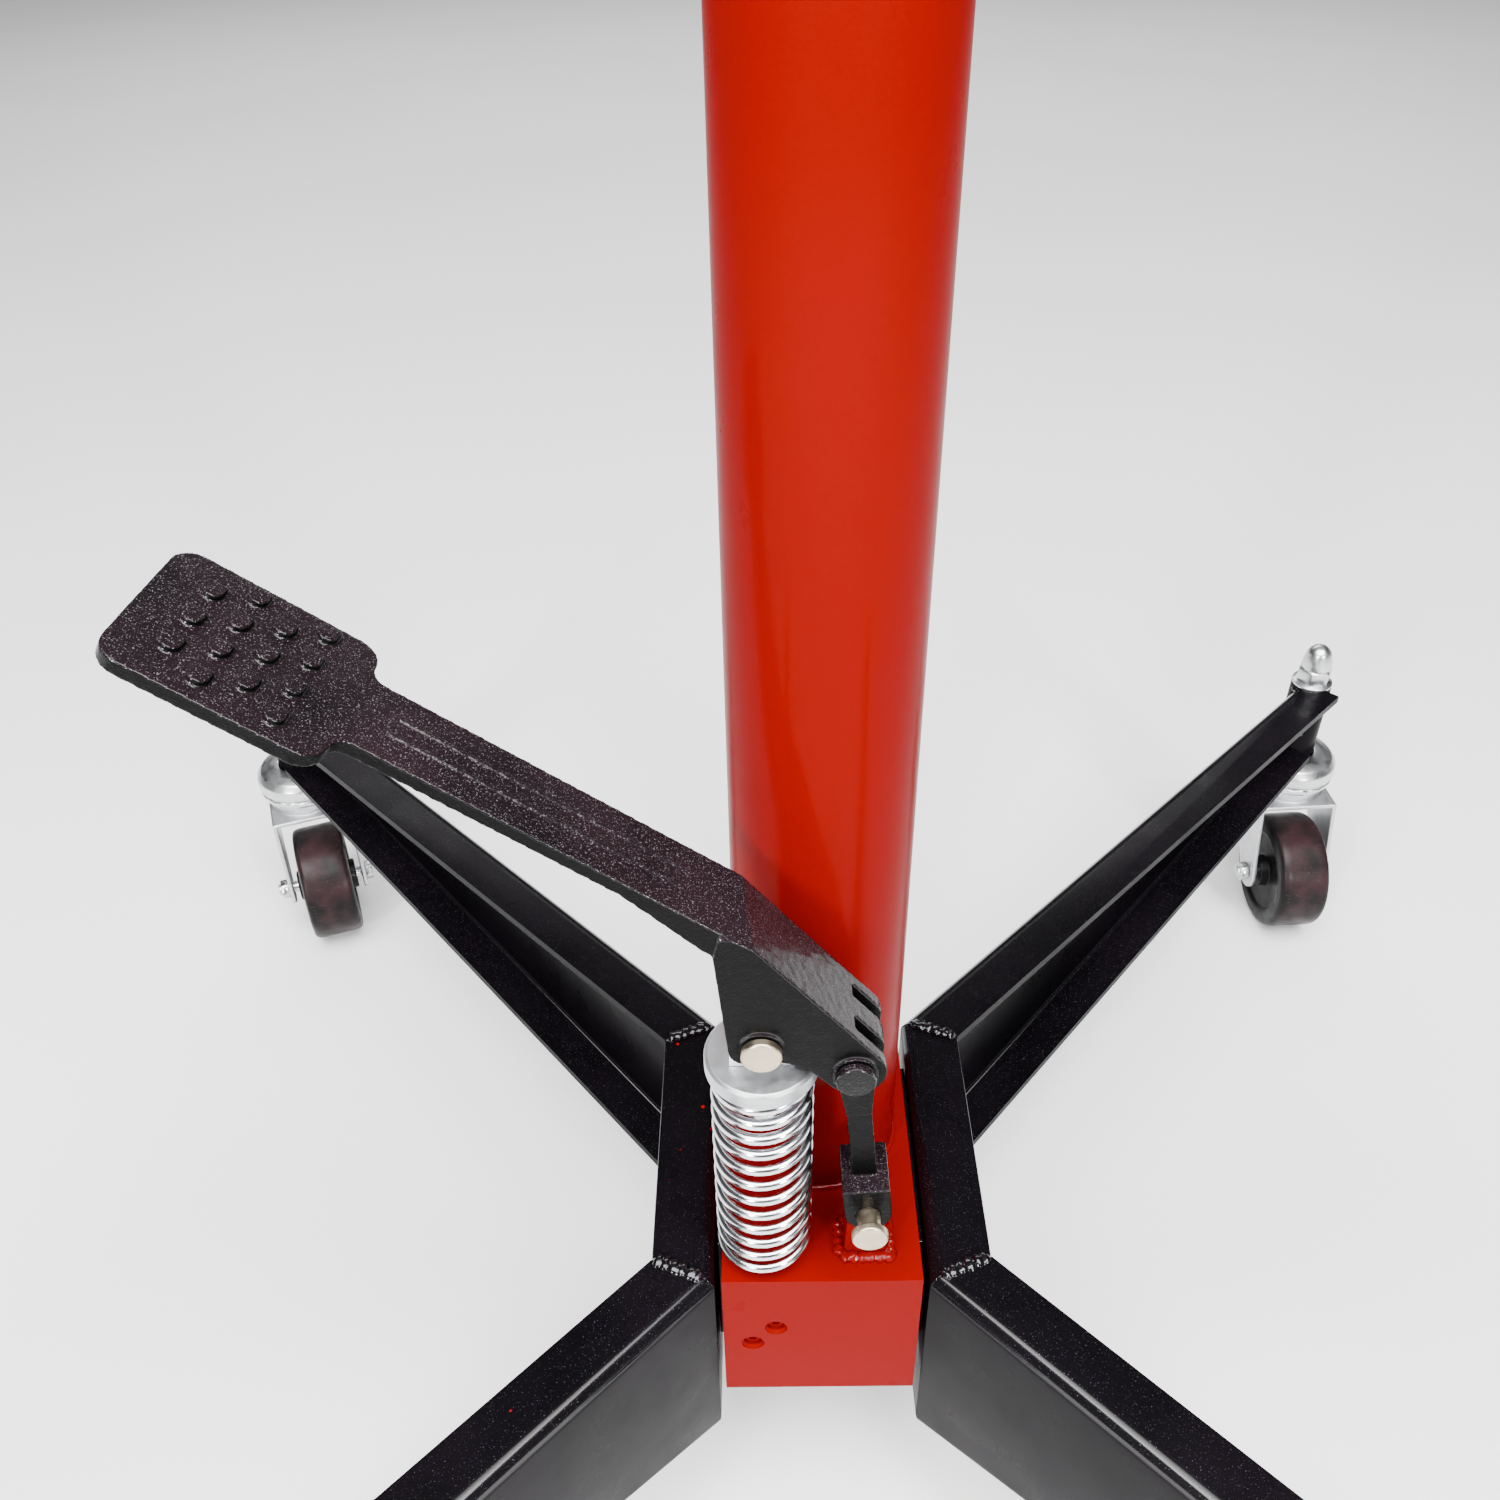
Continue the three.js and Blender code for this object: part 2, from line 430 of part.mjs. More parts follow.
// Studs stand on the pad in a staggered grid: three and four across in turn.
const STUD = { across: 18.7, along: 15.3, fromEnd: 21, aside: 1.5, radius: 4.6, height: 2.4 };
function studs() {
  const made = [];
  for (let row = 0; row < 4; row += 1) {
    const count = row % 2 ? 4 : 3;
    for (let i = 0; i < count; i += 1) {
      const across = (i - (count - 1) / 2) * STUD.across - STUD.aside;
      const along = PAD.start + PAD.length - STUD.fromEnd - row * STUD.along;
      made.push(upright(along, across, STUD.radius, -1, STUD.height, 7));
    }
  }
  return made;
}
function pedal() {
  const half = PEDAL.width / 2;
  const plate = extruded(armOutline(), PEDAL.plate, 4).translate(0, 0, -PEDAL.plate);
  const gusset = slab(polygon([[58, -6.5], [-6, -6.5], [-6, -14], [12, -14]]), -half, half);
  const arm = solid(onBend(geometryOf(join(plate, gusset, ...studs()))));
  // The arm ends on the plane of the front slope.
  const aboveSlope = slab(polygon([onSlope(60), onSlope(-30), [60, 600], [0, 600]]), MID - 60, MID + 60);
  const body = pedalHead().add(cut(arm, aboveSlope));
  const holes = [[PUMP.x, PLUNGER_PIN_Z], [LINK_PIN.x, LINK_PIN.z]].map(([x, z]) =>
    alongY(x, z, PIN.radius + GAP, MID - half - 5, MID + half + 5));
  return cut(body, ...holes);
}
place("pedal_lever", pedal(), CAST_BLACK);

// A headed pin: the front face of its head and its rear end, from the linkage plane.
function headedPin(x, z, front, rear) {
  const faceY = MID - front;
  return join(alongY(x, z, PIN.head, faceY, faceY + PIN.headThickness),
    alongY(x, z, PIN.radius, faceY + PIN.headThickness - 1, MID + rear));
}
place("plunger_pin", headedPin(PUMP.x, PLUNGER_PIN_Z, 26, 26), TINTED);
place("link_pin", headedPin(LINK_PIN.x, LINK_PIN.z, 26, 26), CAST_BLACK);
place("base_pin", headedPin(BASE_PIN.x, BASE_PIN.z, 29, 22), TINTED);

// ---- Casters: stem and cup on the boss, fork that swivels under the cup, wheel on its axle.
const cupBottom = CASTER.crown + 12;
const axleZ = WHEEL.radius;
const nutShape = () => {
  const base = BLOCK_TOP + GAP;
  const body = join(
    turned([[0, base], [BOSS.radius, base], [BOSS.radius, base + 2], [13, base + 3.5], [0, base + 3.5]], 16),
    upright(0, 0, 14, base + 2, base + 16, 6),
    turned([[0, base + 15], [12, base + 15], [11.5, base + 24], [9, base + 31], [4.5, base + 35],
      [0, base + 36]], 10));
  return cut(body, upright(0, 0, 6 + GAP, base - 1, base + 16, 12));
};
const stemShape = () => turned([
  [0, cupBottom], [CASTER.cup - 1, cupBottom], [CASTER.cup, cupBottom + 2],
  [CASTER.cup - 1, cupBottom + 8], [CASTER.cup - 8, cupBottom + 12],
  [20, BOSS.bottom - GAP], [6, BOSS.bottom - GAP], [6, BLOCK_TOP + 13], [0, BLOCK_TOP + 13]], 16);
// The fork: a pressed crown with a race on top and two cheeks down to the axle behind the swivel's axis.
function forkShape() {
  const { trail, forkHalf, sheet, crown } = CASTER;
  const cheek = new THREE.Shape();
  cheek.moveTo(28, crown);
  cheek.lineTo(-36, crown);
  cheek.absarc(-trail, axleZ, 14, rad(170), rad(340));
  const cheekPlate = (x) => extruded(cheek, sheet, 5)
    .applyMatrix4(new THREE.Matrix4().makeBasis(
      new THREE.Vector3(0, 1, 0), new THREE.Vector3(0, 0, 1), new THREE.Vector3(1, 0, 0)))
    .translate(x, 0, 0);
  const race = turned([[0, crown - 1], [CASTER.cup - 7, crown - 1], [CASTER.cup - 5, crown + 5],
    [CASTER.cup - 6, cupBottom - 0.5], [0, cupBottom - 0.5]], 16);
  const plate = extruded(roundedRectangle(-forkHalf, forkHalf, -36, 28, 3), sheet, 2)
    .translate(0, 0, crown - sheet);
  const body = join(plate, race, cheekPlate(-forkHalf), cheekPlate(forkHalf - sheet));
  return cut(body, alongX(-trail, axleZ, WHEEL.axle + GAP, -forkHalf - 1, forkHalf + 1));
}
function wheelShape() {
  const { radius, width, hub, axle } = WHEEL;
  const half = width / 2;
  const bore = axle + GAP;
  const profile = [[bore, -hub / 2], [13, -hub / 2], [14, -half + 5], [33, -half], [radius - 7, -half],
    [radius, -half + 9], [radius, half - 9], [radius - 7, half], [33, half], [14, half - 5], [13, hub / 2],
    [bore, hub / 2], [bore, -hub / 2]];
  return turned(profile).rotateY(Math.PI / 2).translate(0, -CASTER.trail, axleZ);
}
function axleShape() {
  const out = CASTER.forkHalf + GAP;
  return join(
    alongX(-CASTER.trail, axleZ, WHEEL.axle, -out - 9, out + 3),
    alongX(-CASTER.trail, axleZ, 8.5, out, out + 6, 6),
    alongX(-CASTER.trail, axleZ, 8.5, -out - 7, -out, 6));
}
// Front casters are the rear ones turned half round, so the jack's footprint is centred.
for (const [corner, sideX, sideY] of CORNERS) {
  const caster = new THREE.Group();
  caster.position.set(sideX * BOSS.x, sideY * BOSS.y, 0);
  jack.add(caster);
  place(`${corner}_acorn_nut`, nutShape(), ZINC, caster);
  place(`${corner}_caster_stem`, stemShape(), ZINC, caster);
  const swivel = new THREE.Group();
  swivel.rotation.z = rad(TURN[corner]);
  caster.add(swivel);
  place(`${corner}_caster_fork`, forkShape(), ZINC, swivel);
  place(`${corner}_wheel`, wheelShape(), RUBBER, swivel);
  place(`${corner}_axle`, axleShape(), ZINC, swivel);
}

export default jack;
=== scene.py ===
"""Looks for a foot-operated hydraulic transmission jack, in metres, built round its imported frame."""
import math

import bmesh
import bpy
from mathutils import Matrix, Vector, noise


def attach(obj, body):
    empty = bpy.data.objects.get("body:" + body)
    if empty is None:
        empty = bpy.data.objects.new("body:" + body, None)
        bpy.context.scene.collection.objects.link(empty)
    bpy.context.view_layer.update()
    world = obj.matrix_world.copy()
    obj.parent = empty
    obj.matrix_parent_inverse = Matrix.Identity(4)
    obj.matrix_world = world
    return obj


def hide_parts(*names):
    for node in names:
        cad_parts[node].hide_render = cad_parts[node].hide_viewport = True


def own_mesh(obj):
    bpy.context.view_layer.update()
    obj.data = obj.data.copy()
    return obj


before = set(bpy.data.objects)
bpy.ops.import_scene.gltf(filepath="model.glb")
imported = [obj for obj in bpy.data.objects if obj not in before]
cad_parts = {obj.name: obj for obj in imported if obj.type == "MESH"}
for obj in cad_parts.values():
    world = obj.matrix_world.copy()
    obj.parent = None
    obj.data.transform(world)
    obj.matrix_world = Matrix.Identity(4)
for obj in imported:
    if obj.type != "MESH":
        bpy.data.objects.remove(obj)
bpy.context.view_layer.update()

MM = 0.001
# The seed of the weld beads' wobble, which would otherwise differ from run to run.
noise.seed_set(7)

# Dimensions in millimetres, the same as the solid model's. GAP is left between neighbouring pieces.
GAP = 0.3
# Pump block: its box in X, Y and Z, and the two valves in its front face, as X and Z.
BLOCK_TOP = 225.0
BLOCK = (-53, 53, -89, 71, 118, BLOCK_TOP)
VALVES = {"suction": (-37.2, 165.4), "delivery": (-24.5, 180.4)}
RELEASE = (22, 165)
# Channels: web face, mitred corner, plate thickness, flange width, outer bend radius and depth.
WEB_X = 56.7
CORNER_Y = 89.0
PLATE = 6.0
FLANGE = 33.4
BEND = 9.0
DEPTH = 150.0
LEG_TAPER = 0.2
TAN_MITRE = math.tan(math.radians(22.5))
RAIL_BOLTS = [(-42, 195), (42, 195), (-42, 142), (42, 142)]
# Caster boss at a leg's end, as X and Y from the middle.
BOSS = (431.0, 453.0)
BOSS_RADIUS = 16.0
BOSS_BORE = 6.5
BOSS_BOTTOM = 146.0
# Column and ram, on one upright axis.
COLUMN = (0, 12.3)
COLUMN_RADIUS = 44.5
COLUMN_BORE = 40.5
COLUMN_TOP = 1010
RAM_RADIUS = 21
GLAND_RADIUS = 46
GLAND_TOP = 1040
FILLER = (0, 965)
# Foot pump: its axis as X and Y, the linkage's middle plane in Y, and the pins as X and Z.
PUMP = (-30.0, -65.0)
MID = -65.0
BARREL_BORE = 9.8
CAP_BOTTOM = 369.8
CAP_RADIUS = 27.3
EYE_RADIUS = 15
PLUNGER_PIN = (-30.0, 404.0)
LINK_PIN = (12.5, 386.7)
BASE_PIN = (23.0, 269.5)
PIN_RADIUS = 6
# Pedal: where its arm bends off, the arm's slope and turn in degrees, and the pad's span along it.
BEND_AT = (-35.0, 469.4)
ARM_TILT = 32.0
ARM_YAW = 7.0
PAD_START = 184.3
PAD_END = 274.3
# Casters: the fork's crown, the cup over the swivel bearing, and half widths in X.
WHEEL_RADIUS = 50.0
WHEEL_HALF = 21
HUB_HALF = 25
AXLE_RADIUS = 5
TRAIL = 38.0
CROWN = 119.5
CUP_BOTTOM = 131.5
CUP = 36.5
FORK_HALF = 33.0
FORK_PLATE = 3.5
# Each corner's side in X and Y, and its caster's swivel angle in degrees.
CORNERS = {
    "front_left": (-1, -1, 183.5),
    "front_right": (1, -1, 200.0),
    "rear_left": (-1, 1, 20.0),
    "rear_right": (1, 1, 3.5),
}


# ---- Mesh helpers. Points are in millimetres until an object is made.
def new_object(name, points, faces):
    mesh = bpy.data.meshes.new(name)
    mesh.from_pydata([Vector(p) * MM for p in points], [], faces)
    mesh.validate()
    obj = bpy.data.objects.new(name, mesh)
    bpy.context.scene.collection.objects.link(obj)
    bm = bmesh.new()
    bm.from_mesh(mesh)
    bmesh.ops.remove_doubles(bm, verts=bm.verts, dist=1e-6)
    bmesh.ops.recalc_face_normals(bm, faces=bm.faces)
    bm.to_mesh(mesh)
    bm.free()
    return obj


def apply_modifiers(obj):
    """Turns a piece's modifiers into mesh."""
    bpy.context.view_layer.update()
    evaluated = obj.evaluated_get(bpy.context.evaluated_depsgraph_get())
    mesh = bpy.data.meshes.new_from_object(evaluated)
    obj.modifiers.clear()
    obj.data = mesh
    return obj


def boolean(obj, *tools, operation="DIFFERENCE"):
    """Cuts each tool out of a piece, or adds it, and removes the tool."""
    for tool in tools:
        modifier = obj.modifiers.new("cut", "BOOLEAN")
        modifier.operation = operation
        modifier.solver = "EXACT"
        modifier.object = tool
        apply_modifiers(obj)
        bpy.data.objects.remove(tool)
    return obj


def bevel(obj, width, segments=3, angle=35):
    """Rounds a machined piece's sharp edges, with the flat faces kept flat."""
    modifier = obj.modifiers.new("bevel", "BEVEL")
    modifier.width = width * MM
    modifier.segments = segments
    modifier.limit_method = "ANGLE"
    modifier.angle_limit = math.radians(angle)
    modifier.harden_normals = True
    modifier.use_clamp_overlap = True
    obj.data.shade_smooth()
    obj.data.set_sharp_from_angle(angle=math.radians(50))
    return obj


def smooth(obj, angle=40):
    """Smooth shading, with edges past the angle kept sharp."""
    obj.data.shade_smooth()
    obj.data.set_sharp_from_angle(angle=math.radians(angle))
    return obj


def lathe(name, profile, centre=(0, 0), segments=96, axis="z"):
    """A turned piece from [radius, height] points, about an upright axis or one along X or Y."""
    points, faces = [], []
    n = len(profile)
    for i in range(segments):
        a = 2 * math.pi * i / segments
        points += [(r * math.cos(a), r * math.sin(a), z) for r, z in profile]
    for i in range(segments):
        j = (i + 1) % segments
        for k in range(n - 1):
            faces.append((i * n + k, j * n + k, j * n + k + 1, i * n + k + 1))
    turn = {
        "z": lambda p: (p[0] + centre[0], p[1] + centre[1], p[2]),
        "x": lambda p: (p[2], p[0] + centre[0], p[1] + centre[1]),
        "y": lambda p: (p[0] + centre[0], p[2], p[1] + centre[1]),
    }[axis]
    return new_object(name, [turn(p) for p in points], faces)


def rounded(profile, radius, steps=4):
    """The profile with each inner corner rounded, for turned pieces."""
    out = [profile[0]]
    for before, corner, after in zip(profile, profile[1:], profile[2:]):
        c = Vector(corner)
        a, b = Vector(before) - c, Vector(after) - c
        r = min(radius, a.length * 0.45, b.length * 0.45)
        if r < 1e-3:
            out.append(corner)
            continue
        p, q = c + a.normalized() * r, c + b.normalized() * r
        for i in range(steps + 1):
            t = i / steps
            out.append(tuple(p * (1 - t) ** 2 + c * 2 * t * (1 - t) + q * t * t))
    out.append(profile[-1])
    return out


def prism(name, outline, low, high, axis="y"):
    """A plate between two places along its axis, with its outline in the other two axes, in order."""
    n = len(outline)
    if axis == "y":
        points = [(a, y, b) for y in (low, high) for a, b in outline]
    elif axis == "x":
        points = [(x, a, b) for x in (low, high) for a, b in outline]
    else:
        points = [(a, b, z) for z in (low, high) for a, b in outline]
    faces = [tuple(range(n)), tuple(range(2 * n - 1, n - 1, -1))]
    faces += [(i, (i + 1) % n, n + (i + 1) % n, n + i) for i in range(n)]
    return new_object(name, points, faces)


def arc(x, z, radius, start, end, steps=16):
    """Points of an arc round (x, z), from one angle in degrees to another."""
    return [
        (
            x + radius * math.cos(math.radians(start + (end - start) * i / steps)),
            z + radius * math.sin(math.radians(start + (end - start) * i / steps)),
        )
        for i in range(steps + 1)
    ]


def box(name, x0, x1, y0, y1, z0, z1):
    return prism(name, [(x0, y0), (x1, y0), (x1, y1), (x0, y1)], z0, z1, axis="z")


def tube(name, path, radius, sides=12, squeeze=1.0, wobble=0.0, ripple=0.0, pitch=4.0):
    """A bar along a path, its ends closed; wobble and ripple, each pitch, make it a weld bead."""
    points, faces = [], []
    path = [Vector(p) for p in path]
    travelled = 0.0
    for i, p in enumerate(path):
        ahead = path[min(i + 1, len(path) - 1)] - path[max(i - 1, 0)]
        forward = ahead.normalized()
        side = forward.cross(Vector((0, 0, 1)))
        side = side.normalized() if side.length > 1e-3 else Vector((1, 0, 0))
        up = side.cross(forward).normalized()
        if i:
            travelled += (p - path[i - 1]).length
        end = min(1.0, 0.35 + 0.65 * min(i, len(path) - 1 - i) / 2) if ripple else 1.0
        size = radius * end * (1 + ripple * abs(math.sin(math.pi * travelled / pitch)))
        for k in range(sides):
            a = 2 * math.pi * k / sides
            q = p + (side * math.cos(a) + up * math.sin(a) * squeeze) * size
            if wobble:
                q += noise.noise_vector(q * 0.45) * wobble
            points.append(q)
    for i in range(len(path) - 1):
        for k in range(sides):
            m = (k + 1) % sides
            faces.append((i * sides + k, i * sides + m, (i + 1) * sides + m, (i + 1) * sides + k))
    last = (len(path) - 1) * sides
    faces.append(tuple(range(sides - 1, -1, -1)))
    faces.append(tuple(range(last, last + sides)))
    return new_object(name, points, faces)


def join(name, *objects):
    """One piece made of several, placed as they stand."""
    target = objects[0]
    bm = bmesh.new()
    for obj in objects:
        obj.data.transform(obj.matrix_world)
        bm.from_mesh(obj.data)
    mesh = bpy.data.meshes.new(name)
    bm.to_mesh(mesh)
    bm.free()
    for obj in objects[1:]:
        bpy.data.objects.remove(obj)
    target.data = mesh
    target.name = name
    target.matrix_world = Matrix.Identity(4)
    return target


def cad_copy(node, name):
    """A CAD node's mesh as a new piece, with its flat faces made whole."""
    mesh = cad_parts[node].data.copy()
    bm = bmesh.new()
    bm.from_mesh(mesh)
    bmesh.ops.remove_doubles(bm, verts=bm.verts, dist=2e-6)
    bmesh.ops.dissolve_limit(bm, angle_limit=0.02, verts=bm.verts, edges=bm.edges)
    bm.to_mesh(mesh)
    bm.free()
    mesh.materials.clear()
    obj = bpy.data.objects.new(name, mesh)
    bpy.context.scene.collection.objects.link(obj)
    return obj


CAST_GRAIN = 260


def cast(obj, voxel, iterations, roughness=0.0):
    """Melts a piece's edges as a casting's are: an even remesh, then relaxed."""
    remesh = obj.modifiers.new("remesh", "REMESH")
    remesh.mode = "VOXEL"
    remesh.voxel_size = voxel * MM
    relax = obj.modifiers.new("relax", "SMOOTH")
    relax.factor = 0.5
    relax.iterations = iterations
    apply_modifiers(obj)
    if roughness:
        rough = [
            v.co + v.normal * noise.noise(v.co * CAST_GRAIN) * roughness * MM for v in obj.data.vertices
        ]
        for v, co in zip(obj.data.vertices, rough):
            v.co = co
    obj.data.shade_smooth()
    return obj


# ---- Materials: every one is made of nodes, in metres of the object's own space.
RED_DEEP, RED_LIGHT, RED_SPECK = (0.145, 0.0, 0.0), (0.155, 0.0, 0.0), (0.10, 0.001, 0.001)
BLACK_DEEP, BLACK_LIGHT = (0.0012, 0.001, 0.0014), (0.0035, 0.0026, 0.0038)
# The light flecks of black paint are dust and painted glints.
DUST_AND_GLINT, OVERSPRAY = (0.07, 0.062, 0.08), (0.30, 0.0, 0.0)
# The casting's top colours are a painted sheen over its plain side colour; its light flecks are grit and
# painted glints.
CAST_SHEEN_DEEP, CAST_SHEEN_LIGHT = (0.0035, 0.0024, 0.0032), (0.0105, 0.0056, 0.0075)
CAST_SIDE, GRIT_AND_GLINT = (0.0016, 0.0016, 0.0018), (0.11, 0.095, 0.105)
RUBBER_DEEP, RUBBER_LIGHT = (0.004, 0.003, 0.003), (0.022, 0.009, 0.011)
RUBBER_SIDE, SCUFF = (0.004, 0.0035, 0.004), (0.03, 0.022, 0.021)


class Shader:
    """A principled material and the nodes that drive it."""

    def __init__(self, name):
        self.material = bpy.data.materials.new(name)
        self.material.use_nodes = True
        tree = self.material.node_tree
        self.nodes, self.links = tree.nodes, tree.links
        self.surface = self.nodes["Principled BSDF"]
        coordinates = self.nodes.new("ShaderNodeTexCoord")
        self.space = coordinates.outputs["Object"]
        self.normal = coordinates.outputs["Normal"]

    def set(self, **inputs):
        for key, value in inputs.items():
            self.surface.inputs[key.replace("_", " ")].default_value = value
        return self

    def grain(self, scale, detail=3.0, stretch=None):
        """Noise of 0 to 1, finer with a larger scale."""
        source = self.space
        if stretch:
            mapping = self.nodes.new("ShaderNodeMapping")
            mapping.inputs["Scale"].default_value = stretch
            self.links.new(source, mapping.inputs["Vector"])
            source = mapping.outputs["Vector"]
        texture = self.nodes.new("ShaderNodeTexNoise")
        texture.inputs["Scale"].default_value = scale
        texture.inputs["Detail"].default_value = detail
        self.links.new(source, texture.inputs["Vector"])
        return texture.outputs["Fac"]

    def cells(self, scale):
        texture = self.nodes.new("ShaderNodeTexVoronoi")
        texture.inputs["Scale"].default_value = scale
        self.links.new(self.space, texture.inputs["Vector"])
        return texture

    def span(self, value, low, high, to_low=0.0, to_high=1.0):
        """The value's way from low to high, as one from to_low to to_high, clamped."""
        node = self.nodes.new("ShaderNodeMapRange")
        node.inputs["From Min"].default_value = low
        node.inputs["From Max"].default_value = high
        node.inputs["To Min"].default_value = to_low
        node.inputs["To Max"].default_value = to_high
        self.links.new(value, node.inputs["Value"])
        return node.outputs["Result"]

    def math(self, operation, a, b):
        node = self.nodes.new("ShaderNodeMath")
        node.operation = operation
        for socket, value in zip(node.inputs, (a, b)):
            if isinstance(value, (int, float)):
                socket.default_value = value
            else:
                self.links.new(value, socket)
        return node.outputs["Value"]

    def axis(self, vector, name):
        node = self.nodes.new("ShaderNodeSeparateXYZ")
        self.links.new(vector, node.inputs["Vector"])
        return node.outputs[name]

    def mix(self, factor, a, b):
        node = self.nodes.new("ShaderNodeMix")
        node.data_type = "RGBA"
        self.links.new(factor, node.inputs["Factor"])
        for socket, value in ((node.inputs["A"], a), (node.inputs["B"], b)):
            if isinstance(value, tuple):
                socket.default_value = (*value, 1)
            else:
                self.links.new(value, socket)
        return node.outputs["Result"]

    def colour(self, value):
        self.links.new(value, self.surface.inputs["Base Color"])
        return self

    def roughness(self, value):
        self.links.new(value, self.surface.inputs["Roughness"])
        return self

    def bump(self, *layers):
        """Layers of (height, distance in millimetres, strength)."""
        normal = None
        for height, distance, strength in layers:
            node = self.nodes.new("ShaderNodeBump")
            node.inputs["Distance"].default_value = distance * MM
            node.inputs["Strength"].default_value = strength
            self.links.new(height, node.inputs["Height"])
            if normal:
                self.links.new(normal, node.inputs["Normal"])
            normal = node.outputs["Normal"]
        self.links.new(normal, self.surface.inputs["Normal"])
        return self


def red_paint(name="red_enamel", gloss=0.03):
    """Even red enamel with rare dark specks."""
    s = Shader(name).set(Specular_IOR_Level=0.012, Coat_Weight=gloss, Coat_Roughness=0.08)
    cloud = s.span(s.grain(7, 4), 0.3, 0.7)
    speck = s.span(s.cells(420).outputs["Distance"], 0.045, 0.09, 1, 0)
    rare = s.span(s.grain(60, 2), 0.66, 0.7)
    base = s.mix(cloud, RED_DEEP, RED_LIGHT)
    s.colour(s.mix(s.math("MULTIPLY", speck, rare), base, RED_SPECK))
    s.roughness(s.span(s.grain(35, 4), 0.3, 0.7, 0.27, 0.32))
    return s.bump((s.grain(150, 2), 0.06, 0.15), (s.grain(900, 2), 0.02, 0.2)).material


def black_paint(name, red_specks=False, gloss=0.05):
    """Black gloss paint: light flecks on the upper faces, dust and painted glints, and more gloss where the
    plate bends.
    """
    s = Shader(name).set(Coat_Roughness=0.12, Specular_IOR_Level=0.02)
    cloud = s.span(s.grain(9, 5), 0.3, 0.7)
    base = s.mix(cloud, BLACK_DEEP, BLACK_LIGHT)
    slope = s.axis(s.normal, "Z")
    upward = s.span(slope, 0.2, 0.8)
    bend = s.math("MULTIPLY", s.span(slope, 0.2, 0.4), s.span(slope, 0.85, 0.97, 1, 0))
    s.links.new(s.span(bend, 0, 1, gloss, 0.9), s.surface.inputs["Coat Weight"])
    # Light flecks on upward faces: dust, and painted glints standing in for sparkle.
    dust_and_glint = s.math("MULTIPLY", s.span(s.grain(1400, 2), 0.66, 0.73), upward)
    base = s.mix(dust_and_glint, base, DUST_AND_GLINT)
    if red_specks:
        cell = s.cells(115)
        dot = s.span(cell.outputs["Distance"], 0.10, 0.15, 1, 0)
        some = s.span(s.grain(38, 1), 0.60, 0.62)
        dot = s.math("MULTIPLY", dot, upward)
        base = s.mix(s.math("MULTIPLY", dot, some), base, OVERSPRAY)
    s.colour(base)
    s.roughness(s.span(s.grain(28, 4), 0.3, 0.7, 0.22, 0.4))
    return s.bump((s.grain(420, 3), 0.06, 0.3), (s.grain(1500, 2), 0.03, 0.35)).material


def cast_black(name="cast_black_paint", rough=(0.34, 0.55), gloss=0.03):
    """Paint on a rough casting: lighter and purplish on upward faces as a painted sheen, with light flecks
    there that are grit and painted glints, plain on the sides, glossy on sloping edges.
    """
    s = Shader(name).set(Coat_Roughness=0.16, Specular_IOR_Level=gloss)
    cloud = s.span(s.grain(22, 5), 0.3, 0.7)
    slope = s.axis(s.normal, "Z")
    upward = s.span(slope, 0.2, 0.7)
    edge = s.math("MULTIPLY", s.span(slope, 0.12, 0.3), s.span(slope, 0.68, 0.8, 1, 0))
    s.links.new(s.span(edge, 0, 1, gloss * 2, 0.6), s.surface.inputs["Coat Weight"])
    # Upward faces take the lighter, purplish top colour: a painted sheen, as if lit from above.
    top = s.mix(cloud, CAST_SHEEN_DEEP, CAST_SHEEN_LIGHT)
    base = s.mix(upward, CAST_SIDE, top)
    # Light flecks on upward faces: grit, and painted glints standing in for sparkle.
    grit_and_glint = s.math("MULTIPLY", s.span(s.grain(1500, 3), 0.61, 0.66), upward)
    s.colour(s.mix(grit_and_glint, base, GRIT_AND_GLINT))
    s.roughness(s.span(s.grain(300, 4), 0.3, 0.7, *rough))
    pits = s.span(s.cells(650).outputs["Distance"], 0.0, 0.6)
    return s.bump((s.grain(240, 5), 0.5, 0.6), (pits, 0.25, 0.7), (s.grain(1400, 2), 0.12, 0.7)).material


def plated(name, base, low, high, bump=0.15, scale=120):
    """Bare or plated metal, with its roughness between low and high."""
    s = Shader(name).set(Metallic=1.0)
    cloud = s.span(s.grain(scale * 0.4, 5), 0.3, 0.7)
    darker = tuple(c * 0.82 for c in base)
    s.colour(s.mix(cloud, darker, base))
    s.roughness(s.span(s.grain(scale, 5), 0.3, 0.7, low, high))
    return s.bump((s.grain(scale * 6, 3), 0.04, bump), (s.grain(scale, 2), 0.08, bump)).material


def rubber():
    """Black rubber with a worn, brownish tread, told by its distance from the wheel's axis."""
    s = Shader("worn_rubber").set(Specular_IOR_Level=0.1, Coat_Weight=0.05, Coat_Roughness=0.25)
    cloud = s.span(s.grain(45, 5), 0.38, 0.66)
    base = s.mix(cloud, RUBBER_DEEP, RUBBER_LIGHT)
    scuff = s.span(s.grain(240, 4, (1, 1, 3)), 0.6, 0.75)
    worn = s.mix(scuff, base, SCUFF)
    across = s.math("ADD", s.axis(s.space, "Y"), TRAIL * MM)
    height = s.math("SUBTRACT", s.axis(s.space, "Z"), WHEEL_RADIUS * MM)
    squares = s.math("ADD", s.math("MULTIPLY", across, across), s.math("MULTIPLY", height, height))
    reach = s.math("SQRT", squares, 0)
    tread = s.span(reach, (WHEEL_RADIUS - 2.2) * MM, (WHEEL_RADIUS - 0.8) * MM)
    s.colour(s.mix(tread, RUBBER_SIDE, worn))
    s.roughness(s.span(s.grain(80, 4), 0.3, 0.7, 0.3, 0.55))
    return s.bump((s.grain(500, 4), 0.15, 0.4)).material


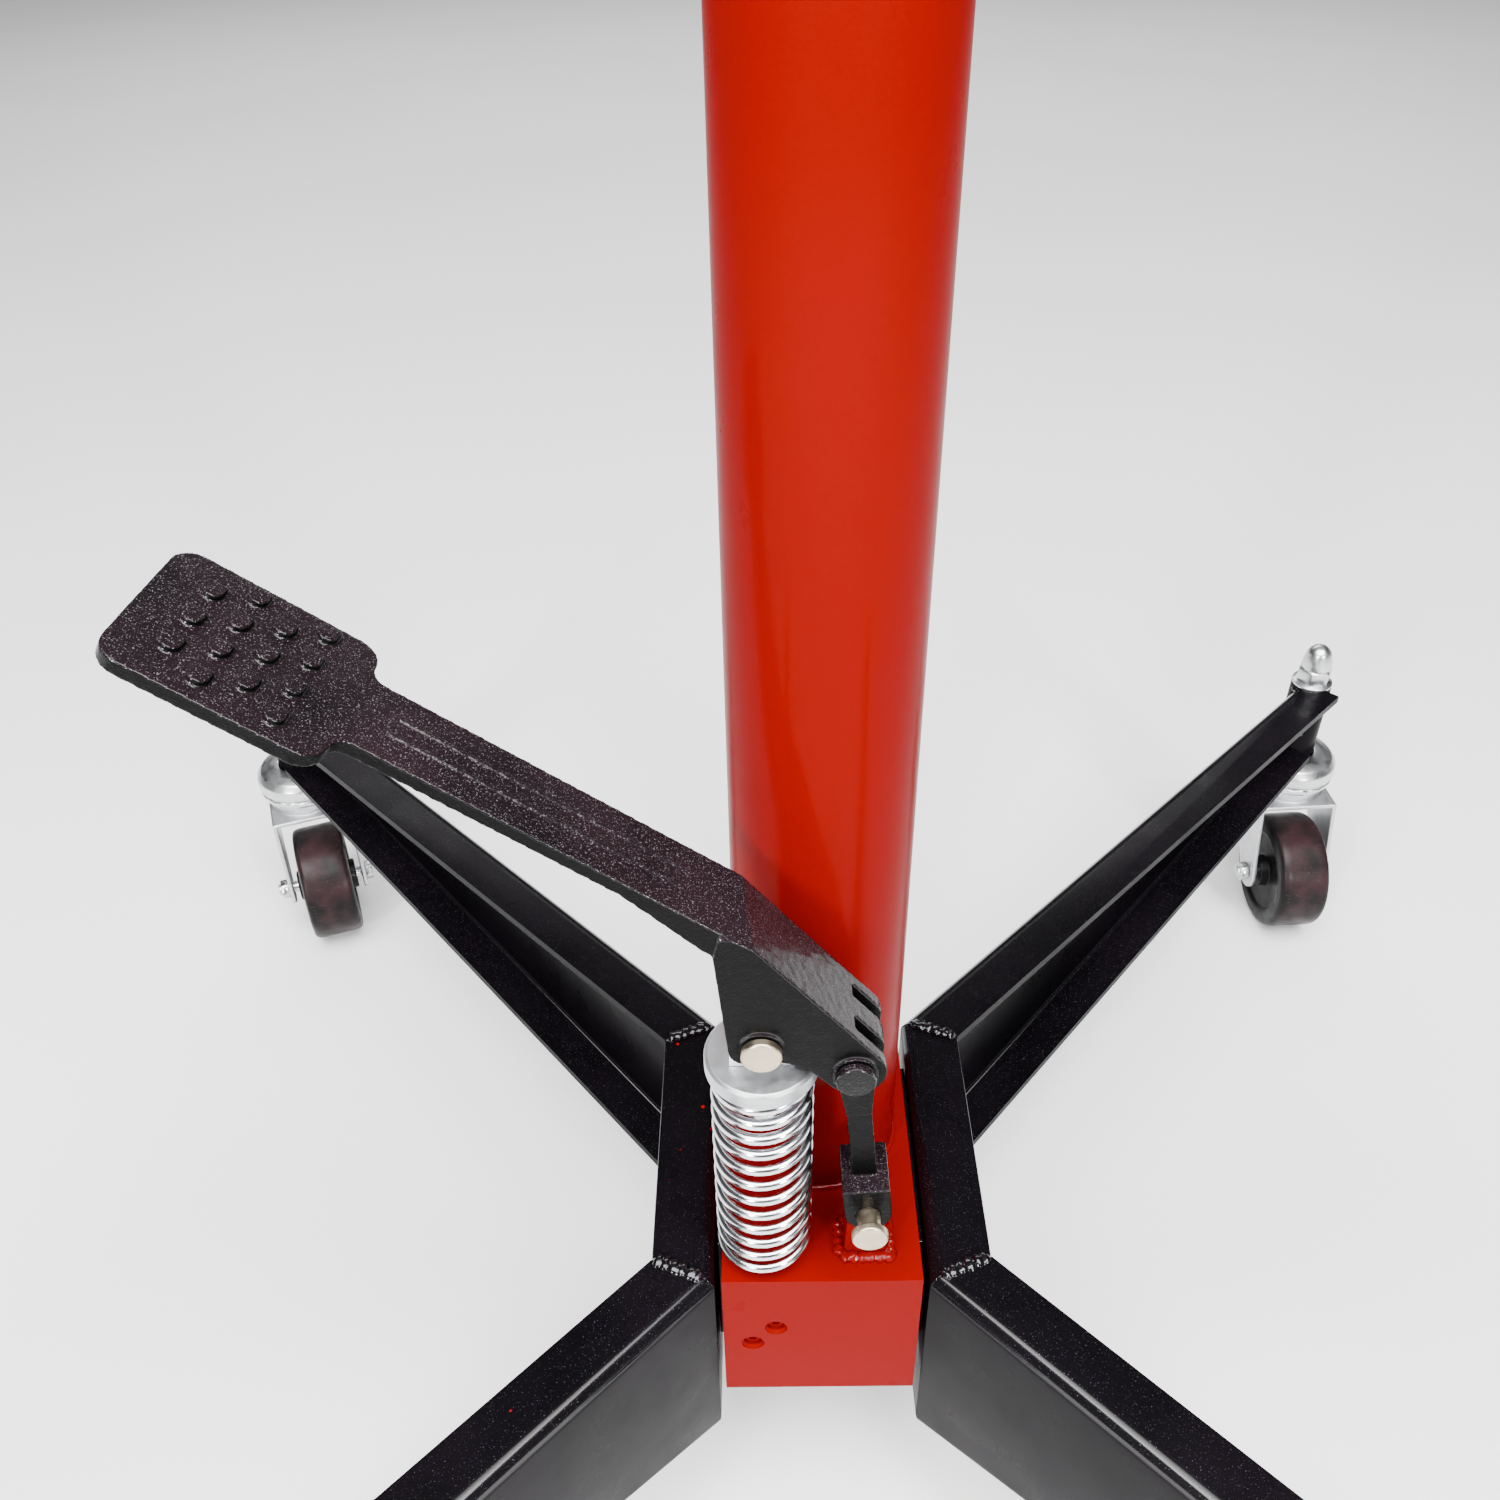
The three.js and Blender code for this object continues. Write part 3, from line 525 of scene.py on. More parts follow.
MATERIALS = {
    "red_paint": red_paint(),
    "black_paint": black_paint("black_gloss_paint"),
    "black_specked": black_paint("black_gloss_paint_with_overspray", red_specks=True),
    "weld_black": black_paint("glossy_weld_paint", gloss=0.9),
    "weld_red": red_paint("glossy_red_weld", 0.5),
    "cast_black": cast_black(),
    "black_pin": cast_black("black_oxide", (0.2, 0.34), 0.06),
    "zinc": plated("bright_zinc", (0.62, 0.63, 0.64), 0.24, 0.42),
    "matt_zinc": plated("matt_zinc", (0.60, 0.61, 0.63), 0.38, 0.52, 0.3, 200),
    "bright_steel": plated("polished_steel", (0.86, 0.87, 0.9), 0.12, 0.22, 0.06),
    "tinted_zinc": plated("tinted_zinc", (0.56, 0.47, 0.34), 0.3, 0.44, 0.25, 260),
    "plain_steel": plated("plain_steel", (0.45, 0.46, 0.47), 0.3, 0.45),
    "rubber": rubber(),
}


def piece(obj, body, slot, *nodes, look=None):
    """Gives a piece its look, the material of its slot unless another look is named, puts it on its body and
    hides the CAD nodes it stands for.
    """
    obj.data.materials.clear()
    obj.data.materials.append(MATERIALS[look or slot])
    for polygon in obj.data.polygons:
        polygon.material_index = 0
    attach(obj, body)
    if nodes:
        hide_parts(*nodes)
    return obj


# ---- Frame: channel legs and side channels, lofted between their mitred ends.
def channel_section(depth):
    """(outward, height) points round the channel: web face at 0, flanges reaching outwards."""
    top, low = BLOCK_TOP, BLOCK_TOP - depth
    r, inner = BEND, BEND - PLATE
    outline = [(FLANGE, top)] + arc(r, top - r, r, 90, 180, 8) + arc(r, low + r, r, 180, 270, 8)
    outline += [(FLANGE, low), (FLANGE, low + PLATE)]
    outline += arc(r, low + r, inner, 270, 180, 6) + arc(r, top - r, inner, 180, 90, 6)
    return outline + [(FLANGE, top - PLATE)]


def channel(name, start, end, depth_start, depth_end, to_world):
    """start and end give the place along the channel for each distance outwards."""
    first = [to_world(start(o), o, z) for o, z in channel_section(depth_start)]
    last = [to_world(end(o), o, z) for o, z in channel_section(depth_end)]
    n = len(first)
    faces = [tuple(range(n)), tuple(range(2 * n - 1, n - 1, -1))]
    faces += [(i, (i + 1) % n, n + (i + 1) % n, n + i) for i in range(n)]
    return new_object(name, first + last, faces)


def cylinder(name, x, y, radius, z0, z1, segments=64):
    """An upright round bar."""
    return lathe(name, [(0, z0), (radius, z0), (radius, z1), (0, z1)], (x, y), segments)


def leg(corner, side_x, side_y):
    """A tapered channel at 45 degrees to the rails, opened below its top flange at the boss."""
    d = math.sqrt(0.5)
    length = (BOSS[0] - WEB_X + BOSS[1] - CORNER_Y) * d - 4

    def to_world(along, out, z):
        x = WEB_X + d * (along + out)
        y = CORNER_Y + d * (along - out)
        return (side_x * x, side_y * y, z)

    obj = channel(
        f"{corner}_leg_channel", lambda o: GAP + o * TAN_MITRE, lambda o: length,
        DEPTH, DEPTH - LEG_TAPER * length, to_world)
    corners = [(length - 28, BEND), (length + 60, BEND), (length + 60, 45), (length - 28, 45)]
    flat = [to_world(a, o, 0)[:2] for a, o in corners]
    relief = prism("relief", flat, 0, BLOCK_TOP - 2 * BEND, axis="z")
    boss = cylinder("boss_space", side_x * BOSS[0], side_y * BOSS[1], BOSS_RADIUS + GAP, 0, 260)
    boolean(obj, relief, boss)
    return bevel(obj, 0.9, 2)


def ripple_path(a, b, step=1.3, rise=0.25):
    """A hand-laid weld's path from a to b, rising and falling a little."""
    a, b = Vector(a), Vector(b)
    count = max(3, int((b - a).length / step))
    return [a.lerp(b, i / count) + Vector((0, 0, rise * math.sin(i * 1.7))) for i in range(count + 1)]


def mitre_end(out):
    """How far a rail reaches from the middle along Y, at a distance outwards."""
    return CORNER_Y - out * TAN_MITRE - GAP


def round_boss(x, y, side_x, side_y, reach=15.5):
    """X and Y round a boss on the side that faces the leg."""
    angles = [math.radians(a) for a in range(188, 263, 4)]
    return [(x + side_x * reach * math.cos(a), y + side_y * reach * math.sin(a)) for a in angles]


for corner, (side_x, side_y, _) in CORNERS.items():
    paint = "black_specked" if corner == "front_left" else "black_paint"
    piece(leg(corner, side_x, side_y), "base", "black_paint", f"{corner}_leg", look=paint)
    x, y = side_x * BOSS[0], side_y * BOSS[1]
    boss = lathe(f"{corner}_boss", rounded([
        (BOSS_BORE, BOSS_BOTTOM), (BOSS_RADIUS, BOSS_BOTTOM), (BOSS_RADIUS, BLOCK_TOP),
        (BOSS_BORE, BLOCK_TOP), (BOSS_BORE, BOSS_BOTTOM)], 1.2), (x, y))
    piece(smooth(boss), "base", "black_paint", f"{corner}_caster_boss")
    # Weld beads: along the mitre on top, and round the boss at two heights.
    out = FLANGE - 1
    inner_point = (side_x * (WEB_X + 6), side_y * (CORNER_Y - 6 * TAN_MITRE), BLOCK_TOP + 0.1)
    outer_point = (side_x * (WEB_X + out), side_y * (CORNER_Y - out * TAN_MITRE), BLOCK_TOP + 0.1)
    bead = tube(
        f"{corner}_mitre_weld", ripple_path(inner_point, outer_point), 3.5, sides=12, squeeze=0.6, wobble=1.3,
        ripple=0.35, pitch=4.8)
    piece(smooth(bead, 80), "base", "black_paint", look="weld_black")
    for name, z in (("top", BLOCK_TOP - 3.2), ("low", BLOCK_TOP - DEPTH + 107)):
        path = [(*place, z) for place in round_boss(x, y, side_x, side_y)]
        bead = tube(f"{corner}_boss_weld_{name}", path, 2.3, sides=10, wobble=0.8, ripple=0.3, pitch=4.0)
        piece(smooth(bead, 80), "base", "black_paint", look="weld_black")

for side, sign in (("left", -1), ("right", 1)):
    rail = channel(
        f"{side}_rail", lambda o: -mitre_end(o), mitre_end, DEPTH, DEPTH,
        lambda along, out, z: (sign * (WEB_X + out), along, z))
    look = "black_specked" if side == "left" else "black_paint"
    piece(bevel(rail, 0.9, 2), "base", "black_paint", f"{side}_side_channel", look=look)
    plate = cad_copy(f"{side}_mount_plate", f"{side}_plate")
    piece(bevel(plate, 1.0, 2), "base", "black_paint", f"{side}_mount_plate")
    for i, place in enumerate(RAIL_BOLTS):
        face = WEB_X + PLATE
        washer = lathe(f"{side}_washer_{i}", rounded([
            (0, face + 0.2), (12, face + 0.2), (12, face + 2.2), (0, face + 2.2)], 0.5), place, 48, axis="x")
        head = lathe(f"{side}_bolt_{i}", [
            (0, face + 2.2), (10.4, face + 2.2), (10.4, face + 9.2), (8.8, face + 10), (0, face + 10)],
            place, 6, axis="x")
        for o in (washer, head):
            if sign < 0:
                o.data.transform(Matrix.Scale(-1, 4, (1, 0, 0)))
                o.data.flip_normals()
        piece(smooth(washer), "base", "zinc")
        piece(bevel(head, 0.5, 2), "base", "zinc")

# ---- Pump block and column.
block = box("block", *BLOCK)
holes = [cylinder("column_bore", *COLUMN, 32.3, 140, 230), cylinder("pump_bore", *PUMP, 15.3, 192, 230)]
for x, z in VALVES.values():
    profile = [(0, -90), (6.1, -90), (6.1, -88.4), (4.75, -87.2), (4.75, -41), (0, -41)]
    holes.append(lathe("valve_bore", profile, (x, z), 48, axis="y"))
holes.append(lathe("release_bore", [(0, 37), (5.3, 37), (5.3, 72), (0, 72)], RELEASE, 48, axis="y"))
boolean(block, *holes)
piece(bevel(block, 1.1, 3), "base", "red_paint", "base_block")
for name, (x, z) in VALVES.items():
    plug = lathe(f"{name}_screw", rounded([
        (0, -86), (3.9, -86), (4.45, -85.4), (4.45, -76), (0, -76)], 0.3), (x, z), 48, axis="y")
    socket = lathe("socket", [(0, -87), (2.3, -87), (2.3, -82), (0, -82)], (x, z), 6, axis="y")
    piece(smooth(boolean(plug, socket), 30), "base", "red_paint", f"{name}_plug")

tube_shell = lathe("column", rounded([
    (COLUMN_BORE, BLOCK_TOP + GAP), (COLUMN_RADIUS, BLOCK_TOP + GAP), (COLUMN_RADIUS, COLUMN_TOP),
    (COLUMN_BORE, COLUMN_TOP), (COLUMN_BORE, BLOCK_TOP + GAP)], 0.8), COLUMN, 160)
boolean(tube_shell, lathe("filler_bore", [(0, 45), (6.3, 45), (6.3, 62), (0, 62)], FILLER, 40, axis="y"))
piece(smooth(tube_shell), "base", "red_paint", "column_tube")
ring = [(x, y, BLOCK_TOP + 0.8) for x, y in arc(*COLUMN, COLUMN_RADIUS + 0.1, 0, 360, 180)]
bead = tube("column_weld", ring, 1.6, sides=10, squeeze=0.9, wobble=0.35, ripple=0.15, pitch=4.0)
piece(smooth(bead, 80), "base", "red_paint", look="weld_red")
filler = lathe("filler_cap", rounded([
    (0, 58), (10, 58), (10, 64.5), (8.4, 65.4), (0, 65.4)], 0.3), FILLER, 6, axis="y")
shank = lathe("filler_shank", [(0, 50.8), (6, 50.8), (6, 58), (0, 58)], FILLER, 40, axis="y")
piece(bevel(join("filler", filler, shank), 0.5, 2), "base", "zinc", "filler_plug")

guide = RAM_RADIUS + GAP
gland = lathe("gland", rounded([
    (guide, COLUMN_TOP + GAP), (45.2, COLUMN_TOP + GAP), (GLAND_RADIUS, 1011.2), (GLAND_RADIUS, 1036),
    (42, GLAND_TOP), (27, GLAND_TOP), (27, 1032), (guide, 1032),
    (guide, COLUMN_TOP + GAP)], 0.6), COLUMN, 128)
notches = []
for i in range(4):
    a = math.radians(45 + 90 * i)
    notch = box("notch", 41, 50, -4, 4, 1020, 1050)
    notch.data.transform(Matrix.Translation((0, COLUMN[1] * MM, 0)) @ Matrix.Rotation(a, 4, "Z"))
    notches.append(notch)
piece(bevel(boolean(gland, *notches), 0.5, 2), "base", "red_paint", "gland_nut")
wiper = lathe("wiper", rounded([
    (guide, 1032.3), (26.7, 1032.3), (26.7, GLAND_TOP), (22.5, 1042.5), (guide, 1042.5),
    (guide, 1032.3)], 0.4), COLUMN, 96)
piece(smooth(wiper), "base", "rubber", "wiper_seal")
rod = lathe("ram_rod", rounded([
    (14, 150), (27.7, 150), (27.7, 165), (24, 165), (24, 173), (27.7, 173), (27.7, 190), (RAM_RADIUS, 190),
    (RAM_RADIUS, 1060), (19, 1062), (12.3, 1062), (12.3, 1022), (0, 1022)], 0.5), COLUMN, 128)
piece(smooth(rod), "ram", "bright_steel", "ram")
post = lathe("post", rounded([
    (0, 1024), (11, 1024), (12, 1025), (12, 1062.3), (26, 1062.3), (28, 1065), (28, 1088), (24, 1091.7),
    (0, 1091.7)], 0.8), COLUMN, 96)
piece(smooth(post), "saddle", "zinc", "saddle_post")
piece(bevel(cad_copy("saddle_plate", "saddle_cross"), 1.4, 3), "saddle", "black_paint", "saddle_plate")
piece(bevel(cad_copy("release_knob", "knob"), 0.9, 3), "release", "black_paint", "release_knob")
stem = lathe("release_stem", rounded([
    (0, 41.2), (2, 41.2), (5, 44), (5, 105), (0, 105)], 0.4), RELEASE, 48, axis="y")
piece(smooth(stem), "release", "zinc", "release_spindle")

# ---- Pump, cap and return spring.
barrel = lathe("barrel", rounded([
    (BARREL_BORE, 192.3), (15, 192.3), (15, 333), (13, 335), (BARREL_BORE, 335),
    (BARREL_BORE, 192.3)], 0.4), PUMP, 80)
piece(smooth(barrel), "base", "red_paint", "pump_barrel")
cap = lathe("cap", rounded([
    (BARREL_BORE, CAP_BOTTOM), (26.3, CAP_BOTTOM), (CAP_RADIUS, 370.8), (CAP_RADIUS, 378.3), (25.8, 379.8),
    (11, 379.8), (BARREL_BORE, 378.8), (BARREL_BORE, CAP_BOTTOM)], 0.5), PUMP, 128)
piece(smooth(cap), "plunger", "zinc", "spring_cap", look="matt_zinc")
eye_outline = [(PUMP[0] - EYE_RADIUS, 380.1), (PUMP[0] + EYE_RADIUS, 380.1)]
eye_outline += arc(*PLUNGER_PIN, EYE_RADIUS, 0, 180, 40)
eye = prism("eye", eye_outline, MID - 9.5, MID + 9.5)
hole = lathe("eye_hole", [
    (0, MID - 20), (8.4, MID - 20), (8.4, MID + 20), (0, MID + 20)], PLUNGER_PIN, 64, axis="y")
rod = cylinder("plunger_rod", *PUMP, 9.5, 225, 383)
plunger = boolean(eye, rod, operation="UNION")
plunger.name = "plunger_eye"
piece(bevel(boolean(plunger, hole), 0.8, 2), "plunger", "bright_steel", "pump_plunger")


def spring():
    """A coil of even wire, its turns a little closer at the ends."""
    radius, wire, turns, low, high = 22.3, 2.8, 12, 225.3, 369.5
    steps, sides = 48, 16
    points, faces = [], []
    count = turns * steps
    for i in range(count + 1):
        t = i / count
        a = 2 * math.pi * turns * t
        rise = t + 0.12 * (t * t * (3 - 2 * t) - t)
        z = low + 2.75 + (high - low - 5.5) * rise
        for k in range(sides):
            b = 2 * math.pi * k / sides
            r = radius + wire * math.cos(b)
            points.append((PUMP[0] + r * math.cos(a), PUMP[1] + r * math.sin(a), z + wire * math.sin(b)))
    for i in range(count):
        for k in range(sides):
            m = (k + 1) % sides
            faces.append((i * sides + k, i * sides + m, (i + 1) * sides + m, (i + 1) * sides + k))
    faces += [tuple(range(sides)), tuple(range(count * sides + sides - 1, count * sides - 1, -1))]
    return new_object("coil_spring", points, faces)


coil = piece(smooth(spring(), 60), "base", "bright_steel", "return_spring")
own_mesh(coil)

# ---- Pedal: cast, with D-shaped studs on the pad and two thin ribs along the arm. ON_BEND places what is
# drawn along the arm, from its bend, in X, with its upper face at 0 in Z.
ON_BEND = (
    Matrix.Translation((BEND_AT[0] * MM, MID * MM, BEND_AT[1] * MM))
    @ Matrix.Rotation(math.pi - math.radians(ARM_YAW), 4, "Z")
    @ Matrix.Rotation(-math.radians(ARM_TILT), 4, "Y")
)


def on_arm(obj):
    """Places a piece that is drawn along the pedal's arm."""
    obj.data.transform(ON_BEND)
    return obj


def stud(index, along, aside):
    """A raised D: its round end points down the pad's side, its flat end away from it."""
    radius, flat = 4.3, aside - 4.6
    outline = arc(along, aside + 0.6, radius, 0, 180, 14) + [(along - radius, flat), (along + radius, flat)]
    return on_arm(prism(f"stud_{index}", outline, -1.2, 2.9, axis="z"))


def pedal():
    """The lever: its pad cut level, studs in rows of three and four, ribs, and a pad round each pin."""
    body = cad_copy("pedal_lever", "pedal")
    boolean(body, on_arm(box("pad_top", PAD_START - 2, PAD_END + 4, -45, 45, 0.0, 8)))
    parts = []
    for row in range(4):
        count = 4 if row % 2 else 3
        for i in range(count):
            aside = (i - (count - 1) / 2) * 18.7 - 1.5
            parts.append(stud(len(parts), PAD_END - 21 - row * 15.3, aside))
    for n, aside in enumerate((-5.2, 5.2)):
        parts.append(on_arm(box(f"rib_{n}", 30, PAD_START - 16, aside - 0.6, aside + 0.6, -1, 1.0)))
    parts.append(on_arm(box("rib_end", PAD_START - 17.2, PAD_START - 16, -5.8, 5.8, -1, 1.0)))
    for name, (x, z) in {"pin_pad_a": PLUNGER_PIN, "pin_pad_b": LINK_PIN}.items():
        profile = [(6.4, MID - 21), (10.2, MID - 21), (12, MID - 19), (6.4, MID - 19), (6.4, MID - 21)]
        parts.append(lathe(name, profile, (x, z), 48, axis="y"))
    return cast(join("pedal", body, *parts), 0.75, 3, 0.12)


piece(pedal(), "pedal", "cast_black", "pedal_lever")
piece(cast(cad_copy("link", "link_casting"), 0.7, 4, 0.08), "link", "cast_black", "link")
piece(cast(cad_copy("link_lug", "lug"), 0.7, 3, 0.05), "base", "red_paint", "link_lug")
around_lug = [(-13 + 0.9 * i, -10.5) for i in range(30)] + [(13.5, -10 + 1.0 * i) for i in range(21)]
around_lug += [(13 - 0.9 * i, 10.5) for i in range(30)] + [(-13.5, 10 - 1.0 * i) for i in range(21)]
lug_weld = [(BASE_PIN[0] + a, MID + b, BLOCK_TOP + 1.2) for a, b in around_lug]
bead = tube("lug_weld", lug_weld, 2.6, sides=12, squeeze=0.8, wobble=1.2, ripple=0.35, pitch=4.6)
piece(smooth(bead, 80), "base", "red_paint", look="weld_red")


def headed_pin(name, x, z, front, rear, head=9.3, thickness=4.5):
    """A pin along Y: its head reaches the front distance from the middle plane, its end the rear one."""
    face = MID - front
    profile = [
        (0, face), (head - 0.7, face), (head, face + 0.8), (head, face + thickness - 0.6),
        (head - 0.6, face + thickness), (PIN_RADIUS, face + thickness), (PIN_RADIUS, MID),
        (PIN_RADIUS, MID + rear - 1), (PIN_RADIUS - 1, MID + rear), (0, MID + rear)]
    return smooth(lathe(name, rounded(profile, 0.35), (x, z), 80, axis="y"))


def clip(name, x, z, y):
    """An external retaining clip near a pin's rear end."""
    ring = arc(x, z, 8.6, -60, 240, 40) + arc(x, z, 6.1, 240, -60, 40)
    return bevel(prism(name, ring, y, y + 1.2), 0.25, 2)


piece(headed_pin("pedal_pin", *PLUNGER_PIN, 26, 26), "pedal", "tinted_zinc", "plunger_pin")
piece(headed_pin("nose_pin", *LINK_PIN, 26, 26), "pedal", "cast_black", "link_pin", look="black_pin")
washer = lathe("nose_washer", rounded([
    (PIN_RADIUS + GAP, MID - 21.4), (10.6, MID - 21.4), (10.6, MID - 20.2), (PIN_RADIUS + GAP, MID - 20.2),
    (PIN_RADIUS + GAP, MID - 21.4)], 0.3), LINK_PIN, 64, axis="y")
piece(smooth(washer), "pedal", "cast_black", look="black_pin")
piece(headed_pin("lug_pin", *BASE_PIN, 29, 22), "link", "tinted_zinc", "base_pin")
piece(clip("clip_pedal", *PLUNGER_PIN, MID + 22.5), "pedal", "zinc")
piece(clip("clip_nose", *LINK_PIN, MID + 22.5), "pedal", "zinc")
piece(clip("clip_lug", *BASE_PIN, MID + 18.5), "link", "zinc")

# ---- Casters: one set of shapes about the swivel's axis, placed at each corner.
def nut_shape():
    """A hexagon nut with a flange below and a tall dome on top."""
    base = BLOCK_TOP + GAP
    flange = lathe("flange", rounded([
        (0, base), (16, base), (16, base + 2), (13, base + 3.5), (0, base + 3.5)], 0.5), segments=64)
    hexagon = lathe("hexagon", [
        (0, base + 2), (13.9, base + 2), (14, base + 14.2), (12.2, base + 16), (0, base + 16)], segments=6)
    bevel(hexagon, 0.8, 2)
    apply_modifiers(hexagon)
    dome = lathe("dome", rounded([
        (0, base + 14), (11.7, base + 14), (11.7, base + 19), (11.2, base + 24), (9, base + 31),
        (5, base + 34.8), (0, base + 36)], 3, 6), segments=64)
    return join("nut", flange, hexagon, dome)


def stem_shape():
    """The pressed cup, with dimples round its lower edge, and the stem through the boss."""
    dimples, dimple_depth = 20, 0.7
    profile = rounded([
        (0, CUP_BOTTOM), (35.8, CUP_BOTTOM), (CUP, CUP_BOTTOM + 1.6), (CUP, CUP_BOTTOM + 4.4),
        (CUP - 1.3, CUP_BOTTOM + 5.6), (CUP + 0.6, CUP_BOTTOM + 8), (CUP + 0.9, CUP_BOTTOM + 12),
        (CUP, CUP_BOTTOM + 17), (CUP - 4, CUP_BOTTOM + 22), (CUP - 12, CUP_BOTTOM + 25),
        (17, CUP_BOTTOM + 25.6), (16.3, CUP_BOTTOM + 24), (16.3, 145.7), (6, 145.7), (6, 238), (0, 238)], 1.2)
    obj = lathe("stem", profile, segments=96)
    for v in obj.data.vertices:
        x, y, z = v.co / MM
        if CUP_BOTTOM + 3.5 < z < CUP_BOTTOM + 6 and math.hypot(x, y) > 35:
            v.co.z += dimple_depth * math.cos(dimples * math.atan2(y, x)) * MM
    return obj


def fork_shape():
    """The pressed fork: a crown with its race, and cheeks bent down from it that narrow to the axle."""
    rear, front = -36, 28
    cheek = [(front, CROWN), (rear, CROWN)] + arc(-TRAIL, WHEEL_RADIUS, 14, 170, 340, 24)
    left = prism("cheek_left", cheek, -FORK_HALF, -FORK_HALF + FORK_PLATE, axis="x")
    right = prism("cheek_right", cheek, FORK_HALF - FORK_PLATE, FORK_HALF, axis="x")
    crown = prism("crown", [
        (-FORK_HALF, rear), (FORK_HALF, rear), (FORK_HALF, front), (-FORK_HALF, front)],
        CROWN - FORK_PLATE, CROWN, axis="z")
    race = lathe("race", rounded([
        (0, CROWN - 1), (31.6, CROWN - 1), (30.6, CROWN + 1.6), (31.5, CROWN + 5), (30.5, CUP_BOTTOM - 0.5),
        (0, CUP_BOTTOM - 0.5)], 0.8), segments=96)
    obj = join("fork", left, right, crown, race)
    bore, centre = AXLE_RADIUS + GAP, (-TRAIL, WHEEL_RADIUS)
    hole = lathe("axle_hole", [(0, -40), (bore, -40), (bore, 40), (0, 40)], centre, 48, axis="x")
    cast(obj, 0.7, 3)
    boolean(obj, hole)
    return smooth(obj, 60)


def wheel_shape():
    """A solid wheel: hub, dished disc and tyre, the same on both sides."""
    bore = AXLE_RADIUS + GAP
    half = [
        (bore, -HUB_HALF), (12.4, -HUB_HALF), (13, -HUB_HALF + 0.6), (13.6, -WHEEL_HALF + 4),
        (34, -WHEEL_HALF + 3), (36, -WHEEL_HALF + 0.6), (38, -WHEEL_HALF), (45, -WHEEL_HALF),
        (48.4, -WHEEL_HALF + 1.4), (49.7, -WHEEL_HALF + 4), (WHEEL_RADIUS, -WHEEL_HALF + 8)]
    profile = half + [(r, -x) for r, x in reversed(half)] + half[:1]
    return smooth(lathe("wheel", rounded(profile, 1.2), (-TRAIL, WHEEL_RADIUS), 128, axis="x"), 50)


def axle_shape():
    """A bolt through fork and wheel, with its head and its nut."""
    out = FORK_HALF + GAP
    centre = (-TRAIL, WHEEL_RADIUS)
    shank = lathe("shank", rounded([
        (0, -out - 9), (4.4, -out - 9), (AXLE_RADIUS, -out - 8.4), (AXLE_RADIUS, out + 3),
        (0, out + 3)], 0.3), centre, 40, axis="x")
    head = lathe("head", [
        (0, out), (8.5, out), (8.5, out + 5.4), (7.4, out + 6), (0, out + 6)], centre, 6, axis="x")
    nut = lathe("locknut", [
        (0, -out - 7), (7.4, -out - 7), (8.5, -out - 6.2), (8.5, -out), (0, -out)], centre, 6, axis="x")
    for obj in (head, nut):
        bevel(obj, 0.5, 2)
        apply_modifiers(obj)
    return smooth(join("axle", shank, head, nut), 30)


# Each caster piece's shape, slot and look.
SHAPES = {
    "acorn_nut": (nut_shape(), "zinc", "zinc"),
    "caster_stem": (stem_shape(), "zinc", "zinc"),
    "caster_fork": (fork_shape(), "zinc", "matt_zinc"),
    "wheel": (wheel_shape(), "rubber", "rubber"),
    "axle": (axle_shape(), "zinc", "zinc"),
}
for obj, _, _ in SHAPES.values():
    smooth(obj, 42)
for corner, (side_x, side_y, turn) in CORNERS.items():
    at = Matrix.Translation((side_x * BOSS[0] * MM, side_y * BOSS[1] * MM, 0))
    swivel = at @ Matrix.Rotation(math.radians(turn), 4, "Z")
    bodies = {"wheel": f"{corner}_roller", "caster_fork": f"{corner}_swivel", "axle": f"{corner}_swivel"}
    for kind, (shape, slot, look) in SHAPES.items():
        obj = bpy.data.objects.new(f"{corner}_{kind}_skin", shape.data)
        bpy.context.scene.collection.objects.link(obj)
        obj.matrix_world = swivel if kind in bodies else at
        piece(obj, bodies.get(kind, "base"), slot, f"{corner}_{kind}", look=look)
for shape, _, _ in SHAPES.values():
    bpy.data.objects.remove(shape)

# ---- CAD nodes that stay: hidden inside, with a material of their own.
HIDDEN = {
    "inner_cylinder": "plain_steel", "piston_seal": "rubber", "suction_ball": "plain_steel",
    "delivery_ball": "plain_steel",
}
for node, look in HIDDEN.items():
    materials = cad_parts[node].data.materials
    if materials:
        materials[0] = MATERIALS[look]
    else:
        materials.append(MATERIALS[look])

# ---- Floor, light and camera.
floor_mesh = bpy.data.meshes.new("floor")
FLOOR_HALF = 8
corners = [(x * FLOOR_HALF, y * FLOOR_HALF, 0) for x, y in ((-1, -1), (1, -1), (1, 1), (-1, 1))]
floor_mesh.from_pydata(corners, [], [(0, 1, 2, 3)])
floor = bpy.data.objects.new("floor", floor_mesh)
bpy.context.scene.collection.objects.link(floor)
pale = Shader("pale_floor").set(Specular_IOR_Level=0.1)
pale.colour(pale.mix(pale.span(pale.grain(1.5, 2), 0.3, 0.7), (0.86, 0.86, 0.86), (0.89, 0.89, 0.89)))
pale.roughness(pale.span(pale.grain(3, 2), 0.3, 0.7, 0.8, 0.9))
floor_mesh.materials.append(pale.material)

world = bpy.data.worlds.new("studio")
bpy.context.scene.world = world
world.use_nodes = True
tree = world.node_tree
coords = tree.nodes.new("ShaderNodeTexCoord")
split = tree.nodes.new("ShaderNodeSeparateXYZ")
